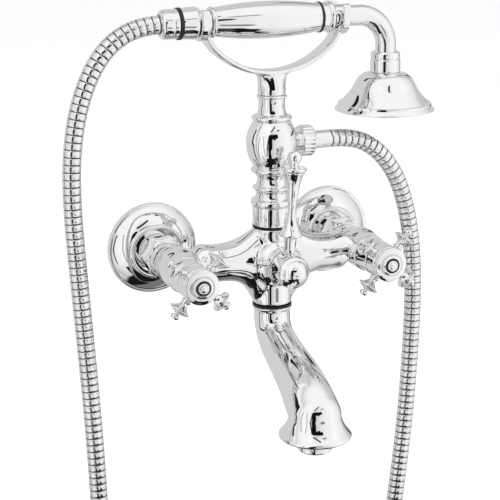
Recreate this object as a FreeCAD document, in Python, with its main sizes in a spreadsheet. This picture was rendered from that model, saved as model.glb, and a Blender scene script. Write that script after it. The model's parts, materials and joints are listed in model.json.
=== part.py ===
# Wall-mounted bath mixer: a cast body on two eccentric wall unions, two cross handles, a lever diverter,
# a turned column with a cradle for a telephone hand shower on a ribbed hose, and a swivel spout.
# Frame: millimetres, +Z up. The wall is the plane Y = 0, and the mixer stands off it toward -Y.
# The origin is on the wall, midway between the axes of the two threaded wall tails.
import FreeCAD
import Part
import Sketcher
import math
import os
from types import SimpleNamespace

Vector = FreeCAD.Vector

# Driving dimensions in mm, angles in degrees. "out" is a distance from the wall along a piece's axis,
# "up" or "down" a height from the handle axis, and "reach" a distance along X from the column.
SIZES = {
    # Arrangement
    "inlet_spacing": 150.0,
    "inlet_rise": 6.0,
    "column_out": 67.0,
    "running_gap": 0.08,
    "loose_gap": 0.3,
    "bevel": 1.0,
    "fine_bevel": 0.6,
    # Eccentric wall unions
    "tail_radius": 10.4,
    "tail_depth": 12.0,
    "tail_bore": 6.5,
    "web_start": 1.0,
    "web_end": 9.0,
    "spigot_radius": 13.2,
    "spigot_bore": 9.0,
    "spigot_out": 33.0,
    # Wall roses
    "rose_radius": 36.0,
    "rose_rim": 3.0,
    "rose_bead": 1.4,
    "rose_ring_radius": 21.0,
    "rose_ring_width": 2.4,
    "rose_depth": 16.0,
    "rose_recess": 4.0,
    "rose_wall": 2.0,
    # Union nuts and inlet washers
    "washer_thickness": 2.5,
    "nut_start": 23.0,
    "nut_length": 19.0,
    "nut_corner_radius": 17.2,
    "nut_bevel_radius": 15.2,
    "nut_lip": 3.0,
    "collar_radius": 12.6,
    "collar_length": 3.0,
    "inlet_neck_radius": 10.6,
    # Cast body
    "arm_radius": 14.4,
    "arm_rise": 1.4,
    "arm_end_radius": 14.8,
    "arm_elbow_radius": 15.3,
    "barrel_radius": 15.0,
    "barrel_up": 26.0,
    "barrel_down": 34.6,
    "boss_start": 46.0,
    "boss_root_radius": 13.2,
    "boss_root": 1.5,
    "boss_shoulder": 7.0,
    "boss_radius": 14.5,
    "boss_out": 86.0,
    "waterway_radius": 6.5,
    "diverter_boss_radius": 17.5,
    "diverter_boss_out": 82.5,
    # Headworks, spindles and shrouds
    "headwork_radius": 9.5,
    "headwork_start": 62.0,
    "headwork_flange_radius": 11.0,
    "headwork_flange": 4.0,
    "headwork_nose_radius": 7.5,
    "headwork_nose_gap": 1.9,
    "spindle_radius": 4.0,
    "spindle_grip": 10.5,
    "shroud_foot_radius": 13.5,
    "shroud_lip_radius": 13.2,
    "shroud_bore": 11.3,
    "shroud_length": 16.5,
    "shroud_lid": 1.6,
    # Cross handles
    "hub_gap": 1.0,
    "hub_radius": 13.4,
    "hub_back_radius": 12.6,
    "hub_ring_radius": 10.3,
    "hub_step": 2.4,
    "hub_disc_radius": 8.6,
    "hub_cap": 8.8,
    "button_radius": 5.7,
    "button_dome": 1.5,
    "button_edge": 0.5,
    "pole_radius": 0.3,
    "button_seat_radius": 4.9,
    "screw_head_radius": 3.9,
    "screw_head": 2.2,
    "screw_radius": 2.0,
    "arm_grip": 9.0,
    "arm_root_radius": 3.0,
    "arm_bead_radius": 3.4,
    "arm_bead_reach": 15.4,
    "arm_neck_radius": 2.0,
    "arm_neck_reach": 17.6,
    "arm_disc_radius": 7.9,
    "arm_disc_edge": 1.4,
    "arm_disc_reach": 23.4,
    "arm_ball_radius": 2.2,
    "arm_ball_reach": 28.9,
    "handle_turn": 49.5,
    # Diverter
    "cartridge_radius": 12.0,
    "cartridge_start": 58.0,
    "bell_radius": 17.5,
    "bell_rim": 1.2,
    "bell_mouth_radius": 12.2,
    "bell_length": 10.5,
    "bell_wall": 1.6,
    "lever_hub_radius": 12.7,
    "lever_hub_back_radius": 12.1,
    "lever_hub_length": 14.0,
    "lever_hub_front_radius": 10.0,
    "lever_hub_shoulder": 5.0,
    "lever_hub_crown": 11.0,
    "lever_inset": 5.8,
    "lever_lean": 3.0,
    "stud_radius": 3.0,
    "stud_depth": 5.0,
    "lever_start": 13.2,
    "lever_root_radius": 3.7,
    "lever_neck_radius": 5.0,
    "lever_neck_up": 24.5,
    "lever_foot_radius": 8.7,
    "lever_foot_up": 27.5,
    "lever_waist_radius": 4.2,
    "lever_waist_up": 55.0,
    "lever_head_radius": 8.0,
    "lever_head_up": 72.8,
    "lever_collar_radius": 9.4,
    "lever_collar_up": 77.2,
    "lever_collar_edge": 2.2,
    "lever_ball_radius": 5.4,
    "lever_ball_up": 84.5,
    # Column
    "column_seal_radius": 14.9,
    "column_seal_thickness": 1.3,
    "sleeve_radius": 14.7,
    "sleeve_length": 14.6,
    "column_thread_radius": 9.0,
    "column_thread_depth": 11.0,
    "column_bore": 5.0,
    "ring_low_radius": 16.0,
    "ring_low_up": 44.8,
    "cove_low_radius": 12.2,
    "cove_low_up": 51.8,
    "ring_mid_radius": 14.1,
    "ring_mid_up": 56.0,
    "cove_mid_radius": 11.0,
    "cove_mid_up": 63.0,
    "ring_high_radius": 15.0,
    "ring_high_up": 69.5,
    "ring_half": 2.3,
    "ball_foot_radius": 14.0,
    "ball_foot_up": 72.5,
    "ball_top_radius": 13.4,
    "ball_top_up": 107.2,
    "outlet_up": 89.4,
    # Cradle
    "stem_thread_radius": 6.0,
    "stem_thread_depth": 9.0,
    "flange_radius": 14.7,
    "flange_height": 3.6,
    "neck_top_radius": 10.4,
    "neck_height": 13.0,
    "thin_ring_radius": 11.2,
    "thin_ring_height": 2.2,
    "yoke_stem_radius": 10.3,
    "yoke_stem_height": 4.0,
    "handset_up": 181.0,
    "bow_reach": 53.6,
    "bow_drop": 38.5,
    "bow_side_radius": 28.0,
    "bow_width": 15.0,
    "bow_thickness": 3.8,
    "bow_corner": 1.0,
    "bow_foot_reach": 20.0,
    "fork_inner_reach": 52.0,
    "fork_width": 6.0,
    "fork_wall": 4.1,
    "fork_up": 10.4,
    # Hand shower, along X
    "rest_neck_radius": 8.8,
    "tail_end_reach": 70.8,
    "tail_end_radius": 11.0,
    "tail_shoulder_reach": 59.4,
    "tail_shoulder_radius": 11.75,
    "rest_neck_outer": 58.6,
    "rest_neck_inner": 48.6,
    "grip_bead_radius": 10.9,
    "grip_bead_width": 3.2,
    "grip_end_radius": 10.6,
    "grip_right_reach": 36.6,
    "grip_swell": 18.0,
    "grip_bore": 7.0,
    "inner_tube_radius": 6.9,
    "inner_tube_bore": 4.5,
    "grip_seal_width": 1.5,
    "grip_seal_radius": 11.3,
    "collar_end_reach": 48.3,
    "collar_bead_radius": 11.5,
    "collar_bead_reach": 45.2,
    "elbow_start": 60.0,
    "elbow_radius": 7.7,
    "elbow_bore": 5.5,
    "elbow_bend": 23.0,
    "bell_axis_reach": 93.4,
    "elbow_drop": 30.0,
    "cap_top": 28.0,
    "cap_radius": 11.1,
    "cap_round": 2.0,
    "cap_bottom": 33.5,
    "ferrule_radius": 11.4,
    "ferrule_bottom": 43.6,
    # Shower head, heights below the handset axis
    "head_shoulder_radius": 17.0,
    "head_shoulder_drop": 44.3,
    "head_waist_radius": 21.8,
    "head_waist_drop": 47.6,
    "head_skirt_radius": 34.9,
    "head_skirt_drop": 64.8,
    "head_rim_radius": 38.0,
    "head_rim_drop": 69.0,
    "head_bottom_drop": 72.0,
    "head_wall": 2.2,
    "spray_plate_thickness": 2.0,
    "spray_hole_radius": 1.3,
    "spray_ring_radius": 27.0,
    "spray_inner_ring_radius": 15.0,
    # Hose and its fittings
    "upper_nut_reach": 86.0,
    "upper_nut_radius": 10.7,
    "upper_nut_length": 13.0,
    "upper_nut_round": 3.4,
    "hose_entry": 5.0,
    "handset_thread_radius": 8.6,
    "handset_thread_length": 8.0,
    "hose_seal_radius": 11.5,
    "outlet_collar_radius": 7.5,
    "outlet_neck": 1.6,
    "outlet_face_reach": 17.6,
    "outlet_collar_reach": 22.0,
    "outlet_shank_radius": 6.0,
    "outlet_shank_depth": 8.0,
    "outlet_thread_radius": 10.2,
    "outlet_thread_reach": 28.0,
    "hose_washer_thickness": 1.5,
    "lower_nut_radius": 11.65,
    "lower_nut_length": 10.2,
    "lower_nut_lip": 1.5,
    "flute_radius": 1.6,
    "ferrule_flange": 1.5,
    "hose_ferrule_reach": 47.5,
    "hose_radius": 6.75,
    "hose_groove_radius": 6.0,
    "hose_bore": 3.5,
    # Spout, heights below the handle axis
    "nipple_thread_radius": 10.0,
    "nipple_thread_up": 12.0,
    "nipple_radius": 9.0,
    "nipple_bore": 5.5,
    "nipple_bottom": 51.0,
    "oring_down": 47.0,
    "oring_half": 1.2,
    "spout_seal_radius": 15.1,
    "spout_seal_thickness": 1.6,
    "spout_collar_radius": 15.5,
    "spout_root_radius": 14.0,
    "spout_root_down": 46.0,
    "spout_socket_down": 52.0,
    "spout_elbow_radius": 19.3,
    "spout_elbow_down": 97.0,
    "spout_waterway": 6.5,
    "spout_reach": 82.0,
    "spout_skirt": 14.0,
    "spout_rim_radius": 27.0,
    "spout_lip": 2.6,
    "spout_screw_down": 42.0,
    "spout_screw_radius": 1.8,
    "aerator_radius": 12.8,
    "aerator_length": 10.5,
    "aerator_thread_radius": 9.6,
    "aerator_thread_length": 6.0,
    "aerator_bore": 10.4,
    "aerator_washer_thickness": 1.5,
    "aerator_seat": 2.0,
    "insert_inset": 1.5,
    "insert_hole": 0.8,
    "insert_wall": 1.6,
}

# Counts
HANDLE_ARMS = 4
NUT_SIDES = 6
LOWER_NUT_FLUTES = 16
SPRAY_OUTER_HOLES = 9
SPRAY_INNER_HOLES = 4
HOSE_RIBS = 24

# Sections of one arm of the body from the column to the valve: share of the reach, shares of the way from
# the arm's own upper and lower edge to the barrel's, share of its depth, and share of the way to the elbow.
ARM_SECTIONS = [
    (0.067, 0.985, 0.985, 0.90, 0.0),
    (0.107, 0.980, 0.975, 0.90, 0.0),
    (0.153, 0.965, 0.950, 0.90, 0.0),
    (0.187, 0.940, 0.905, 0.91, 0.0),
    (0.227, 0.835, 0.760, 0.92, 0.0),
    (0.267, 0.655, 0.490, 0.94, 0.0),
    (0.333, 0.395, 0.215, 0.96, 0.0),
    (0.400, 0.185, 0.085, 0.98, 0.0),
    (0.480, 0.050, 0.020, 0.99, 0.0),
    (0.570, 0.0, 0.0, 0.98, 0.0),
    (0.670, 0.030, 0.005, 0.96, 0.0),
    (0.790, 0.080, -0.095, 0.93, 0.0),
    (1.0, 0.0, 0.0, 1.0, 1.0),
]

# Spout sections from its root to its elbow: share of the reach, share of the drop, slope of the centreline
# below the horizontal in degrees, and share of the way from the root's radius to the elbow's.
SPOUT_SECTIONS = [
    (0.0, 0.0, 90.0, 0.0),
    (0.027, 0.147, 70.0, 0.0),
    (0.116, 0.294, 43.0, 0.08),
    (0.268, 0.422, 24.0, 0.22),
    (0.488, 0.549, 20.0, 0.42),
    (0.732, 0.716, 27.0, 0.70),
    (1.0, 1.0, 42.0, 1.0),
]

# Route of the hose in the plane of the column: (reach, up) points from the lower ferrule to the upper nut.
HOSE_ROUTE = [
    (47.5, 89.4), (61.0, 89.4), (78.3, 84.3), (94.0, 71.8), (106.8, 52.0), (115.5, 25.5), (121.0, -7.0),
    (122.5, -47.0), (121.2, -96.0), (118.0, -150.0), (112.5, -205.0), (105.5, -260.0), (97.0, -315.0),
    (86.0, -369.0), (69.0, -420.0), (42.0, -464.0), (1.0, -487.0), (-42.0, -480.0), (-78.0, -451.0),
    (-103.0, -408.0), (-120.0, -358.0), (-131.0, -305.0), (-138.0, -250.0), (-142.0, -195.0),
    (-143.5, -140.0), (-146.0, -86.0), (-149.0, -35.0), (-152.0, 12.0), (-154.0, 53.0), (-153.4, 88.0),
    (-148.6, 119.0), (-139.6, 145.0), (-127.0, 164.6), (-111.8, 176.0), (-94.5, 181.0), (-81.0, 181.0),
]


class Size:
    """A length: its value in mm, and the spreadsheet expression that it stands for."""

    def __init__(self, value, text):
        self.value = value
        self.text = text

    def __add__(self, other):
        other = as_size(other)
        return Size(self.value + other.value, f"({self.text} + {other.text})")

    def __sub__(self, other):
        other = as_size(other)
        return Size(self.value - other.value, f"({self.text} - {other.text})")

    def __mul__(self, factor):
        return Size(self.value * factor, f"({self.text} * {factor})")

    def __neg__(self):
        return Size(-self.value, f"(-1 * {self.text})")


def as_size(number):
    """The number as a Size, so that plain numbers and named sizes mix in one outline."""
    return number if isinstance(number, Size) else Size(float(number), repr(float(number)))


doc = FreeCAD.newDocument("bath_mixer")
sheet = doc.addObject("Spreadsheet::Sheet", "Sizes")
for row, (alias, value) in enumerate(SIZES.items(), start=1):
    sheet.set(f"A{row}", alias)
    sheet.set(f"B{row}", str(value))
    sheet.setAlias(f"B{row}", alias)
doc.recompute()

size = SimpleNamespace(**{alias: Size(value, f"Sizes.{alias}") for alias, value in SIZES.items()})
subparts = []

# The axis of each direction that a piece's own Z can take.
DIRECTIONS = {
    "up": FreeCAD.Rotation(),
    "down": FreeCAD.Rotation(Vector(1, 0, 0), 180),
    "out": FreeCAD.Rotation(Vector(1, 0, 0), 90),
    "back": FreeCAD.Rotation(Vector(1, 0, 0), -90),
    "right": FreeCAD.Rotation(Vector(0, 1, 0), 90),
    "left": FreeCAD.Rotation(Vector(0, 1, 0), -90),
    "leaning": FreeCAD.Rotation(Vector(0, 1, 0), SIZES["lever_lean"]),
}


def bind(item, path, length):
    """Bind one property of an object to the sheet."""
    item.setExpression(path, as_size(length).text)


def place(item, x, y, z, direction="up", turn=0.0):
    """Put a piece at a named point with its own Z along a direction, turned about that Z."""
    base = Vector(*(as_size(c).value for c in (x, y, z)))
    about = FreeCAD.Rotation(Vector(0, 0, 1), turn)
    item.Placement = FreeCAD.Placement(base, DIRECTIONS[direction] * about)
    for axis, length in zip("xyz", (x, y, z)):
        bind(item, f"Placement.Base.{axis}", length)


def origin_plane(body, role):
    """One of the body's own origin planes."""
    return next(feature for feature in body.Origin.OriginFeatures if feature.Role == role)


def new_sketch(body, name, plane="XZ_Plane", offset=(0, 0, 0), flip=False):
    """A sketch on one of the body's own planes, shifted by an offset in that plane's axes."""
    sketch = body.newObject("Sketcher::SketchObject", name)
    sketch.AttachmentSupport = [(origin_plane(body, plane), "")]
    sketch.MapMode = "FlatFace"
    shift = Vector(*(as_size(c).value for c in offset))
    facing = FreeCAD.Rotation(Vector(1, 0, 0), 180 if flip else 0)
    sketch.AttachmentOffset = FreeCAD.Placement(shift, facing)
    for axis, length in zip("xyz", offset):
        bind(sketch, f"AttachmentOffset.Base.{axis}", length)
    return sketch


def constrain(sketch, kind, *arguments, length=None):
    """Add one constraint, bound to the sheet where it has a length."""
    if length is None:
        return sketch.addConstraint(Sketcher.Constraint(kind, *arguments))
    index = sketch.addConstraint(Sketcher.Constraint(kind, *arguments, length.value))
    sketch.setExpression(f"Constraints[{index}]", length.text)
    return index


def draw_outline(sketch, outline):
    """Draw a closed outline of (x, y) points, each bound to the sheet. A point's third number makes the
    edge to the next point an arc of that many degrees, which bulges to the right of the way it goes."""
    points = [(as_size(p[0]), as_size(p[1]), p[2] if len(p) > 2 else 0.0) for p in outline]
    ends = []
    for index, (x, y, sweep) in enumerate(points):
        start = Vector(x.value, y.value, 0)
        following = points[(index + 1) % len(points)]
        end = Vector(following[0].value, following[1].value, 0)
        if sweep == 0.0:
            edge = sketch.addGeometry(Part.LineSegment(start, end))
            ends.append((edge, 1, 2))
            continue
        half = math.radians(abs(sweep)) / 2
        chord = end - start
        side = Vector(chord.y, -chord.x, 0).normalize() * math.copysign(1, sweep)
        middle = (start + end) * 0.5 + side * (chord.Length / 2 * math.tan(half / 2))
        edge = sketch.addGeometry(Part.Arc(start, middle, end))
        ends.append((edge, 1, 2) if sweep > 0 else (edge, 2, 1))
        constrain(sketch, "Angle", edge, length=Size(math.radians(abs(sweep)), f"{abs(sweep)} deg"))
    for index, (edge, first, last) in enumerate(ends):
        x, y, sweep = points[index]
        following = ends[(index + 1) % len(ends)]
        constrain(sketch, "Coincident", edge, last, following[0], following[1])
        constrain(sketch, "DistanceX", -1, 1, edge, first, length=x)
        constrain(sketch, "DistanceY", -1, 1, edge, first, length=y)
    return sketch


def spin(body, name, outline, kind="PartDesign::Revolution", axis="V_Axis", **where):
    """Turn a closed outline about an axis of its sketch: adds material, or cuts it as a Groove."""
    sketch = draw_outline(new_sketch(body, name + "_outline", **where), outline)
    feature = body.newObject(kind, name)
    feature.Profile = sketch
    feature.ReferenceAxis = (sketch, [axis])
    feature.Angle = 360.0
    return feature


def new_body(name):
    """An empty body with its label."""
    body = doc.addObject("PartDesign::Body", name)
    body.Label = name
    return body


def turned(name, outline, *where, keep=True):
    """A turned piece: its (radius, height) outline turns about the piece's own Z."""
    body = new_body(name)
    spin(body, name + "_turning", outline)
    place(body, *where)
    if keep:
        subparts.append(body)
    return body


def tube(inner, outer, low, high):
    """The outline of a plain ring or tube."""
    return [(inner, low), (outer, low), (outer, high), (inner, high)]


def combine(kind, name, base, tool):
    """A boolean of two shapes as one labelled sub-part."""
    result = doc.addObject(kind, name)
    result.Label = name
    result.Base = base
    result.Tool = tool
    subparts.append(result)
    return result


def joined(name, shapes):
    """Shapes fused one after another into one."""
    whole = shapes[0]
    for index, shape in enumerate(shapes[1:]):
        step = doc.addObject("Part::Fuse", f"{name}_{index}")
        step.Base = whole
        step.Tool = shape
        whole = step
    return whole


half_spacing = size.inlet_spacing * 0.5
column = (0, -size.column_out, size.inlet_rise)
inlets = {"left": -half_spacing, "right": half_spacing}
shroud_out = size.boss_out + size.shroud_length
handle_back = shroud_out + size.hub_gap
spindle_tip = handle_back + size.spindle_grip


def make_wall_union(side, reach):
    """Threaded tail in the wall, eccentric web, and the spigot that the rose and the union nut screw on."""
    body = new_body(f"wall_union_{side}")
    spin(body, f"tail_{side}", [
        (0, -size.tail_depth), (size.tail_radius, -size.tail_depth), (size.tail_radius, size.web_start),
        (0, size.web_start)])
    sections = []
    for end, radius, rise, out in (("wall", size.tail_radius, 0, size.web_start),
                                   ("nut", size.spigot_radius, size.inlet_rise, size.web_end)):
        ring = new_sketch(body, f"web_{end}_{side}", "XY_Plane", (0, rise, out))
        edge = ring.addGeometry(Part.Circle(Vector(0, 0, 0), Vector(0, 0, 1), radius.value))
        constrain(ring, "Coincident", edge, 3, -1, 1)
        constrain(ring, "Radius", edge, length=radius)
        sections.append(ring)
    web = body.newObject("PartDesign::AdditiveLoft", f"web_{side}")
    web.Profile = sections[0]
    web.Sections = sections[1:]
    lifted = {"offset": (0, 0, -size.inlet_rise)}
    spin(body, f"spigot_{side}", [
        (0, size.web_end), (size.spigot_radius, size.web_end), (size.spigot_radius, size.spigot_out),
        (0, size.spigot_out)], **lifted)
    spin(body, f"tail_bore_{side}", [
        (0, -size.tail_depth), (size.tail_bore, -size.tail_depth), (size.tail_bore, size.web_end),
        (0, size.web_end)], "PartDesign::Groove")
    spin(body, f"spigot_bore_{side}", [
        (0, size.web_end - size.web_start), (size.spigot_bore, size.web_end - size.web_start),
        (size.spigot_bore, size.spigot_out), (0, size.spigot_out)], "PartDesign::Groove", **lifted)
    place(body, reach, 0, 0, "out")
    subparts.append(body)


def make_rose(side, reach):
    """Domed cover plate: rounded rim on the wall, dome, and a front ring round a recess for the spigot."""
    ring_inner = size.rose_ring_radius - size.rose_ring_width
    hole = size.spigot_radius + size.loose_gap
    floor = size.rose_depth - size.rose_recess
    bead_radius = size.rose_radius - size.rose_bead
    bead_top = size.rose_rim + size.rose_bead
    turned(f"wall_rose_{side}", [
        (size.rose_radius - size.rose_wall, 0), (size.rose_radius, 0),
        (size.rose_radius, size.rose_rim, 90),
        (bead_radius, bead_top), (bead_radius - size.rose_bead, bead_top, 28),
        (size.rose_ring_radius, size.rose_depth - size.rose_bead, 60),
        (size.rose_ring_radius - size.rose_bead, size.rose_depth),
        (ring_inner, size.rose_depth), (ring_inner - size.rose_bead, floor), (hole, floor),
        (hole, floor - size.rose_wall), (ring_inner - size.rose_bead, floor - size.rose_wall, -28),
        (bead_radius - size.rose_wall, size.rose_rim)], reach, 0, size.inlet_rise, "out")


def make_union_nut(side, reach):
    """Hexagon nut with a bevelled front, an inner thread for the spigot and a lip behind the collar."""
    end = size.nut_start + size.nut_length
    lip = end - size.nut_lip
    bevel = size.nut_corner_radius - size.nut_bevel_radius
    bore = size.spigot_radius + size.running_gap
    lip_bore = size.inlet_neck_radius + size.loose_gap
    blank = turned(f"nut_blank_{side}", [
        (bore, size.nut_start), (size.nut_bevel_radius, size.nut_start),
        (size.nut_corner_radius, size.nut_start + bevel * 0.5), (size.nut_corner_radius, end - bevel),
        (size.nut_bevel_radius, end), (lip_bore, end), (lip_bore, lip), (bore, lip)],
        reach, 0, size.inlet_rise, "out", keep=False)
    prism = doc.addObject("Part::Prism", f"nut_hexagon_{side}")
    prism.Polygon = NUT_SIDES
    bind(prism, "Circumradius", size.nut_corner_radius)
    bind(prism, "Height", size.nut_length)
    place(prism, reach, -size.nut_start, size.inlet_rise, "out", 30.0)
    combine("Part::Common", f"union_nut_{side}", blank, prism)


def make_washer(side, reach):
    """Fibre washer between the spigot's face and the body's collar."""
    turned(f"inlet_washer_{side}",
           tube(size.spigot_bore, size.collar_radius, size.spigot_out,
                size.spigot_out + size.washer_thickness),
           reach, 0, size.inlet_rise, "out")


def arm_loft(side, reach):
    """One arm of the body: ellipses that grow from a round pipe to the whole height of the barrel."""
    sections = []
    for index, (share, upper_share, lower_share, depth_share, elbow_share) in enumerate(ARM_SECTIONS):
        depth = size.arm_radius + (size.arm_end_radius - size.arm_radius) * elbow_share
        upper = depth + size.arm_rise + (size.barrel_up - size.arm_radius - size.arm_rise) * upper_share
        lower = depth - size.arm_rise + (size.barrel_down - size.arm_radius + size.arm_rise) * lower_share
        oval = doc.addObject("Part::Ellipse", f"body_arm_{side}_{index}")
        bind(oval, "MajorRadius", (upper + lower) * 0.5)
        bind(oval, "MinorRadius", depth * depth_share)
        place(oval, reach * share, -size.column_out, size.inlet_rise + (upper - lower) * 0.5, "right")
        sections.append(oval)
    arm = doc.addObject("Part::Loft", f"body_arm_{side}")
    arm.Sections = sections
    arm.Solid = True
    return arm


def make_body():
    """Cast body: tapered arms that flare into the centre barrel, round elbows, valve bosses and bores."""
    collar = size.spigot_out + size.washer_thickness
    collar_end = collar + size.collar_length
    clear = size.loose_gap
    fit = size.running_gap
    front = (0, 0, size.inlet_rise, "out")
    boss = size.diverter_boss_radius
    outsides = [
        turned("barrel", [
            (0, -size.barrel_down), (size.barrel_radius, -size.barrel_down),
            (size.barrel_radius, size.barrel_up), (0, size.barrel_up)], *column, keep=False),
        turned("diverter_boss", [
            (0, size.column_out), (boss, size.column_out), (boss, size.diverter_boss_out - size.bevel),
            (boss - size.bevel, size.diverter_boss_out), (0, size.diverter_boss_out)],
            *front, keep=False),
    ]
    seat = size.headwork_radius + fit
    nipple_seat = size.nipple_thread_radius + fit
    column_seat = size.column_thread_radius + fit
    cartridge_seat = size.cartridge_radius + fit
    thread_floor = size.barrel_up - size.column_thread_depth
    thread_roof = size.nipple_thread_up - size.barrel_down
    insides = [
        turned("diverter_bore", [
            (0, size.cartridge_start), (cartridge_seat, size.cartridge_start),
            (cartridge_seat, size.diverter_boss_out + clear), (0, size.diverter_boss_out + clear)],
            *front, keep=False),
        turned("arm_waterway", [
            (0, -half_spacing), (size.waterway_radius, -half_spacing), (size.waterway_radius, half_spacing),
            (0, half_spacing)], *column, "right", keep=False),
        turned("barrel_bore", [
            (0, -size.barrel_down - clear), (nipple_seat, -size.barrel_down - clear),
            (nipple_seat, thread_roof), (size.column_bore, thread_roof), (size.column_bore, thread_floor),
            (column_seat, thread_floor), (column_seat, size.barrel_up + clear),
            (0, size.barrel_up + clear)], *column, keep=False),
    ]
    for side, reach in inlets.items():
        where = (reach, 0, size.inlet_rise, "out")
        elbow = doc.addObject("Part::Sphere", f"elbow_{side}")
        bind(elbow, "Radius", size.arm_elbow_radius)
        place(elbow, reach, -size.column_out, size.inlet_rise + size.arm_rise)
        outsides += [arm_loft(side, reach), elbow, turned(f"valve_boss_{side}", [
            (0, collar), (size.collar_radius, collar), (size.collar_radius, collar_end),
            (size.inlet_neck_radius, collar_end), (size.inlet_neck_radius, size.boss_start),
            (size.boss_root_radius, size.boss_start + size.boss_root),
            (size.boss_radius, size.boss_start + size.boss_shoulder),
            (size.boss_radius, size.boss_out - size.bevel), (size.shroud_foot_radius, size.boss_out),
            (0, size.boss_out)], *where, keep=False)]
        insides.append(turned(f"valve_bore_{side}", [
            (0, collar - clear), (size.waterway_radius, collar - clear),
            (size.waterway_radius, size.headwork_start), (seat, size.headwork_start),
            (seat, size.boss_out + clear), (0, size.boss_out + clear)], *where, keep=False))
    inside = doc.addObject("Part::MultiFuse", "body_inside")
    inside.Shapes = insides
    combine("Part::Cut", "mixer_body", joined("body_outside", outsides), inside)


def make_valve(side, reach):
    """Headwork in the boss, its spindle, and the waisted shroud over both."""
    flange_out = size.boss_out + size.headwork_flange
    bore = size.spindle_radius + size.running_gap
    lid = shroud_out - size.shroud_lid
    nose_out = lid - size.headwork_nose_gap
    where = (reach, 0, size.inlet_rise, "out")
    turned(f"headwork_{side}", [
        (bore, size.headwork_start), (size.headwork_radius, size.headwork_start),
        (size.headwork_radius, size.boss_out), (size.headwork_flange_radius, size.boss_out),
        (size.headwork_flange_radius, flange_out), (size.headwork_nose_radius, flange_out),
        (size.headwork_nose_radius, nose_out), (bore, nose_out)], *where)
    turned(f"shroud_{side}", [
        (size.shroud_bore, size.boss_out), (size.shroud_foot_radius, size.boss_out),
        (size.shroud_foot_radius, size.boss_out + size.shroud_lid, -16),
        (size.shroud_lip_radius, lid), (size.shroud_lip_radius, shroud_out),
        (bore + size.loose_gap, shroud_out), (bore + size.loose_gap, lid), (size.shroud_bore, lid)], *where)
    turned(f"valve_spindle_{side}", spindle_outline(size.headwork_start + size.headwork_flange), *where)


def spindle_outline(start):
    """Round spindle with a threaded hole for the handle's screw in its tip."""
    thread_floor = spindle_tip - size.headwork_flange * 2
    return [(0, start), (size.spindle_radius, start), (size.spindle_radius, spindle_tip),
            (size.screw_radius, spindle_tip), (size.screw_radius, thread_floor), (0, thread_floor)]


def make_cross_handle(side, reach):
    """Drum hub with four turned arms, each with a bead, a trumpet flare and a ball tip."""
    back = handle_back
    web = spindle_tip + size.screw_radius
    face = spindle_tip + size.hub_cap
    ring = face - size.hub_step
    body = new_body(f"cross_handle_{side}")
    place(body, reach, 0, size.inlet_rise, "out", SIZES["handle_turn"])
    spin(body, f"hub_{side}", [
        (size.spindle_radius, back), (size.hub_back_radius, back),
        (size.hub_radius, back + size.shroud_lid), (size.hub_radius, ring - size.hub_step),
        (size.hub_ring_radius, ring), (size.hub_disc_radius, ring), (size.hub_disc_radius, face),
        (size.button_seat_radius, face), (size.button_seat_radius, web), (size.screw_radius, web),
        (size.screw_radius, spindle_tip), (size.spindle_radius, spindle_tip)])
    root = size.hub_disc_radius
    knob = size.arm_bead_reach
    ball = size.arm_ball_reach
    disc = size.arm_disc_reach
    arm = spin(body, f"arm_{side}", [
        (root, 0), (root, size.arm_root_radius), (knob, size.arm_bead_radius),
        (size.arm_neck_reach, size.arm_neck_radius),
        (disc - size.arm_disc_edge, size.arm_disc_radius * 0.8),
        (disc, size.arm_disc_radius), (disc + size.arm_disc_edge, size.arm_disc_radius * 0.85),
        (ball - size.arm_ball_radius, size.arm_ball_radius * 0.7), (ball, size.arm_ball_radius),
        (ball + size.arm_ball_radius, size.arm_ball_radius * 0.4), (ball + size.arm_ball_radius, 0)],
        axis="H_Axis", offset=(0, back + size.arm_grip, 0))
    arms = body.newObject("PartDesign::PolarPattern", f"arms_{side}")
    arms.Originals = [arm]
    arms.Axis = (origin_plane(body, "Z_Axis"), [""])
    arms.Angle = 360.0
    arms.Occurrences = HANDLE_ARMS
    body.Tip = arms
    subparts.append(body)
    where = (reach, 0, size.inlet_rise, "out")
    turned(f"handle_screw_{side}", [
        (0, spindle_tip - size.headwork_flange), (size.screw_radius, spindle_tip - size.headwork_flange),
        (size.screw_radius, web), (size.screw_head_radius, web),
        (size.screw_head_radius, web + size.screw_head), (0, web + size.screw_head)], *where)
    shank = web + size.screw_head
    turned(f"index_button_{side}", [
        (0, shank), (size.button_seat_radius, shank), (size.button_seat_radius, face),
        (size.button_radius, face), (size.button_radius, face + size.button_edge, 20),
        (size.pole_radius, face + size.button_dome), (0, face + size.button_dome)], *where)


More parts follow.
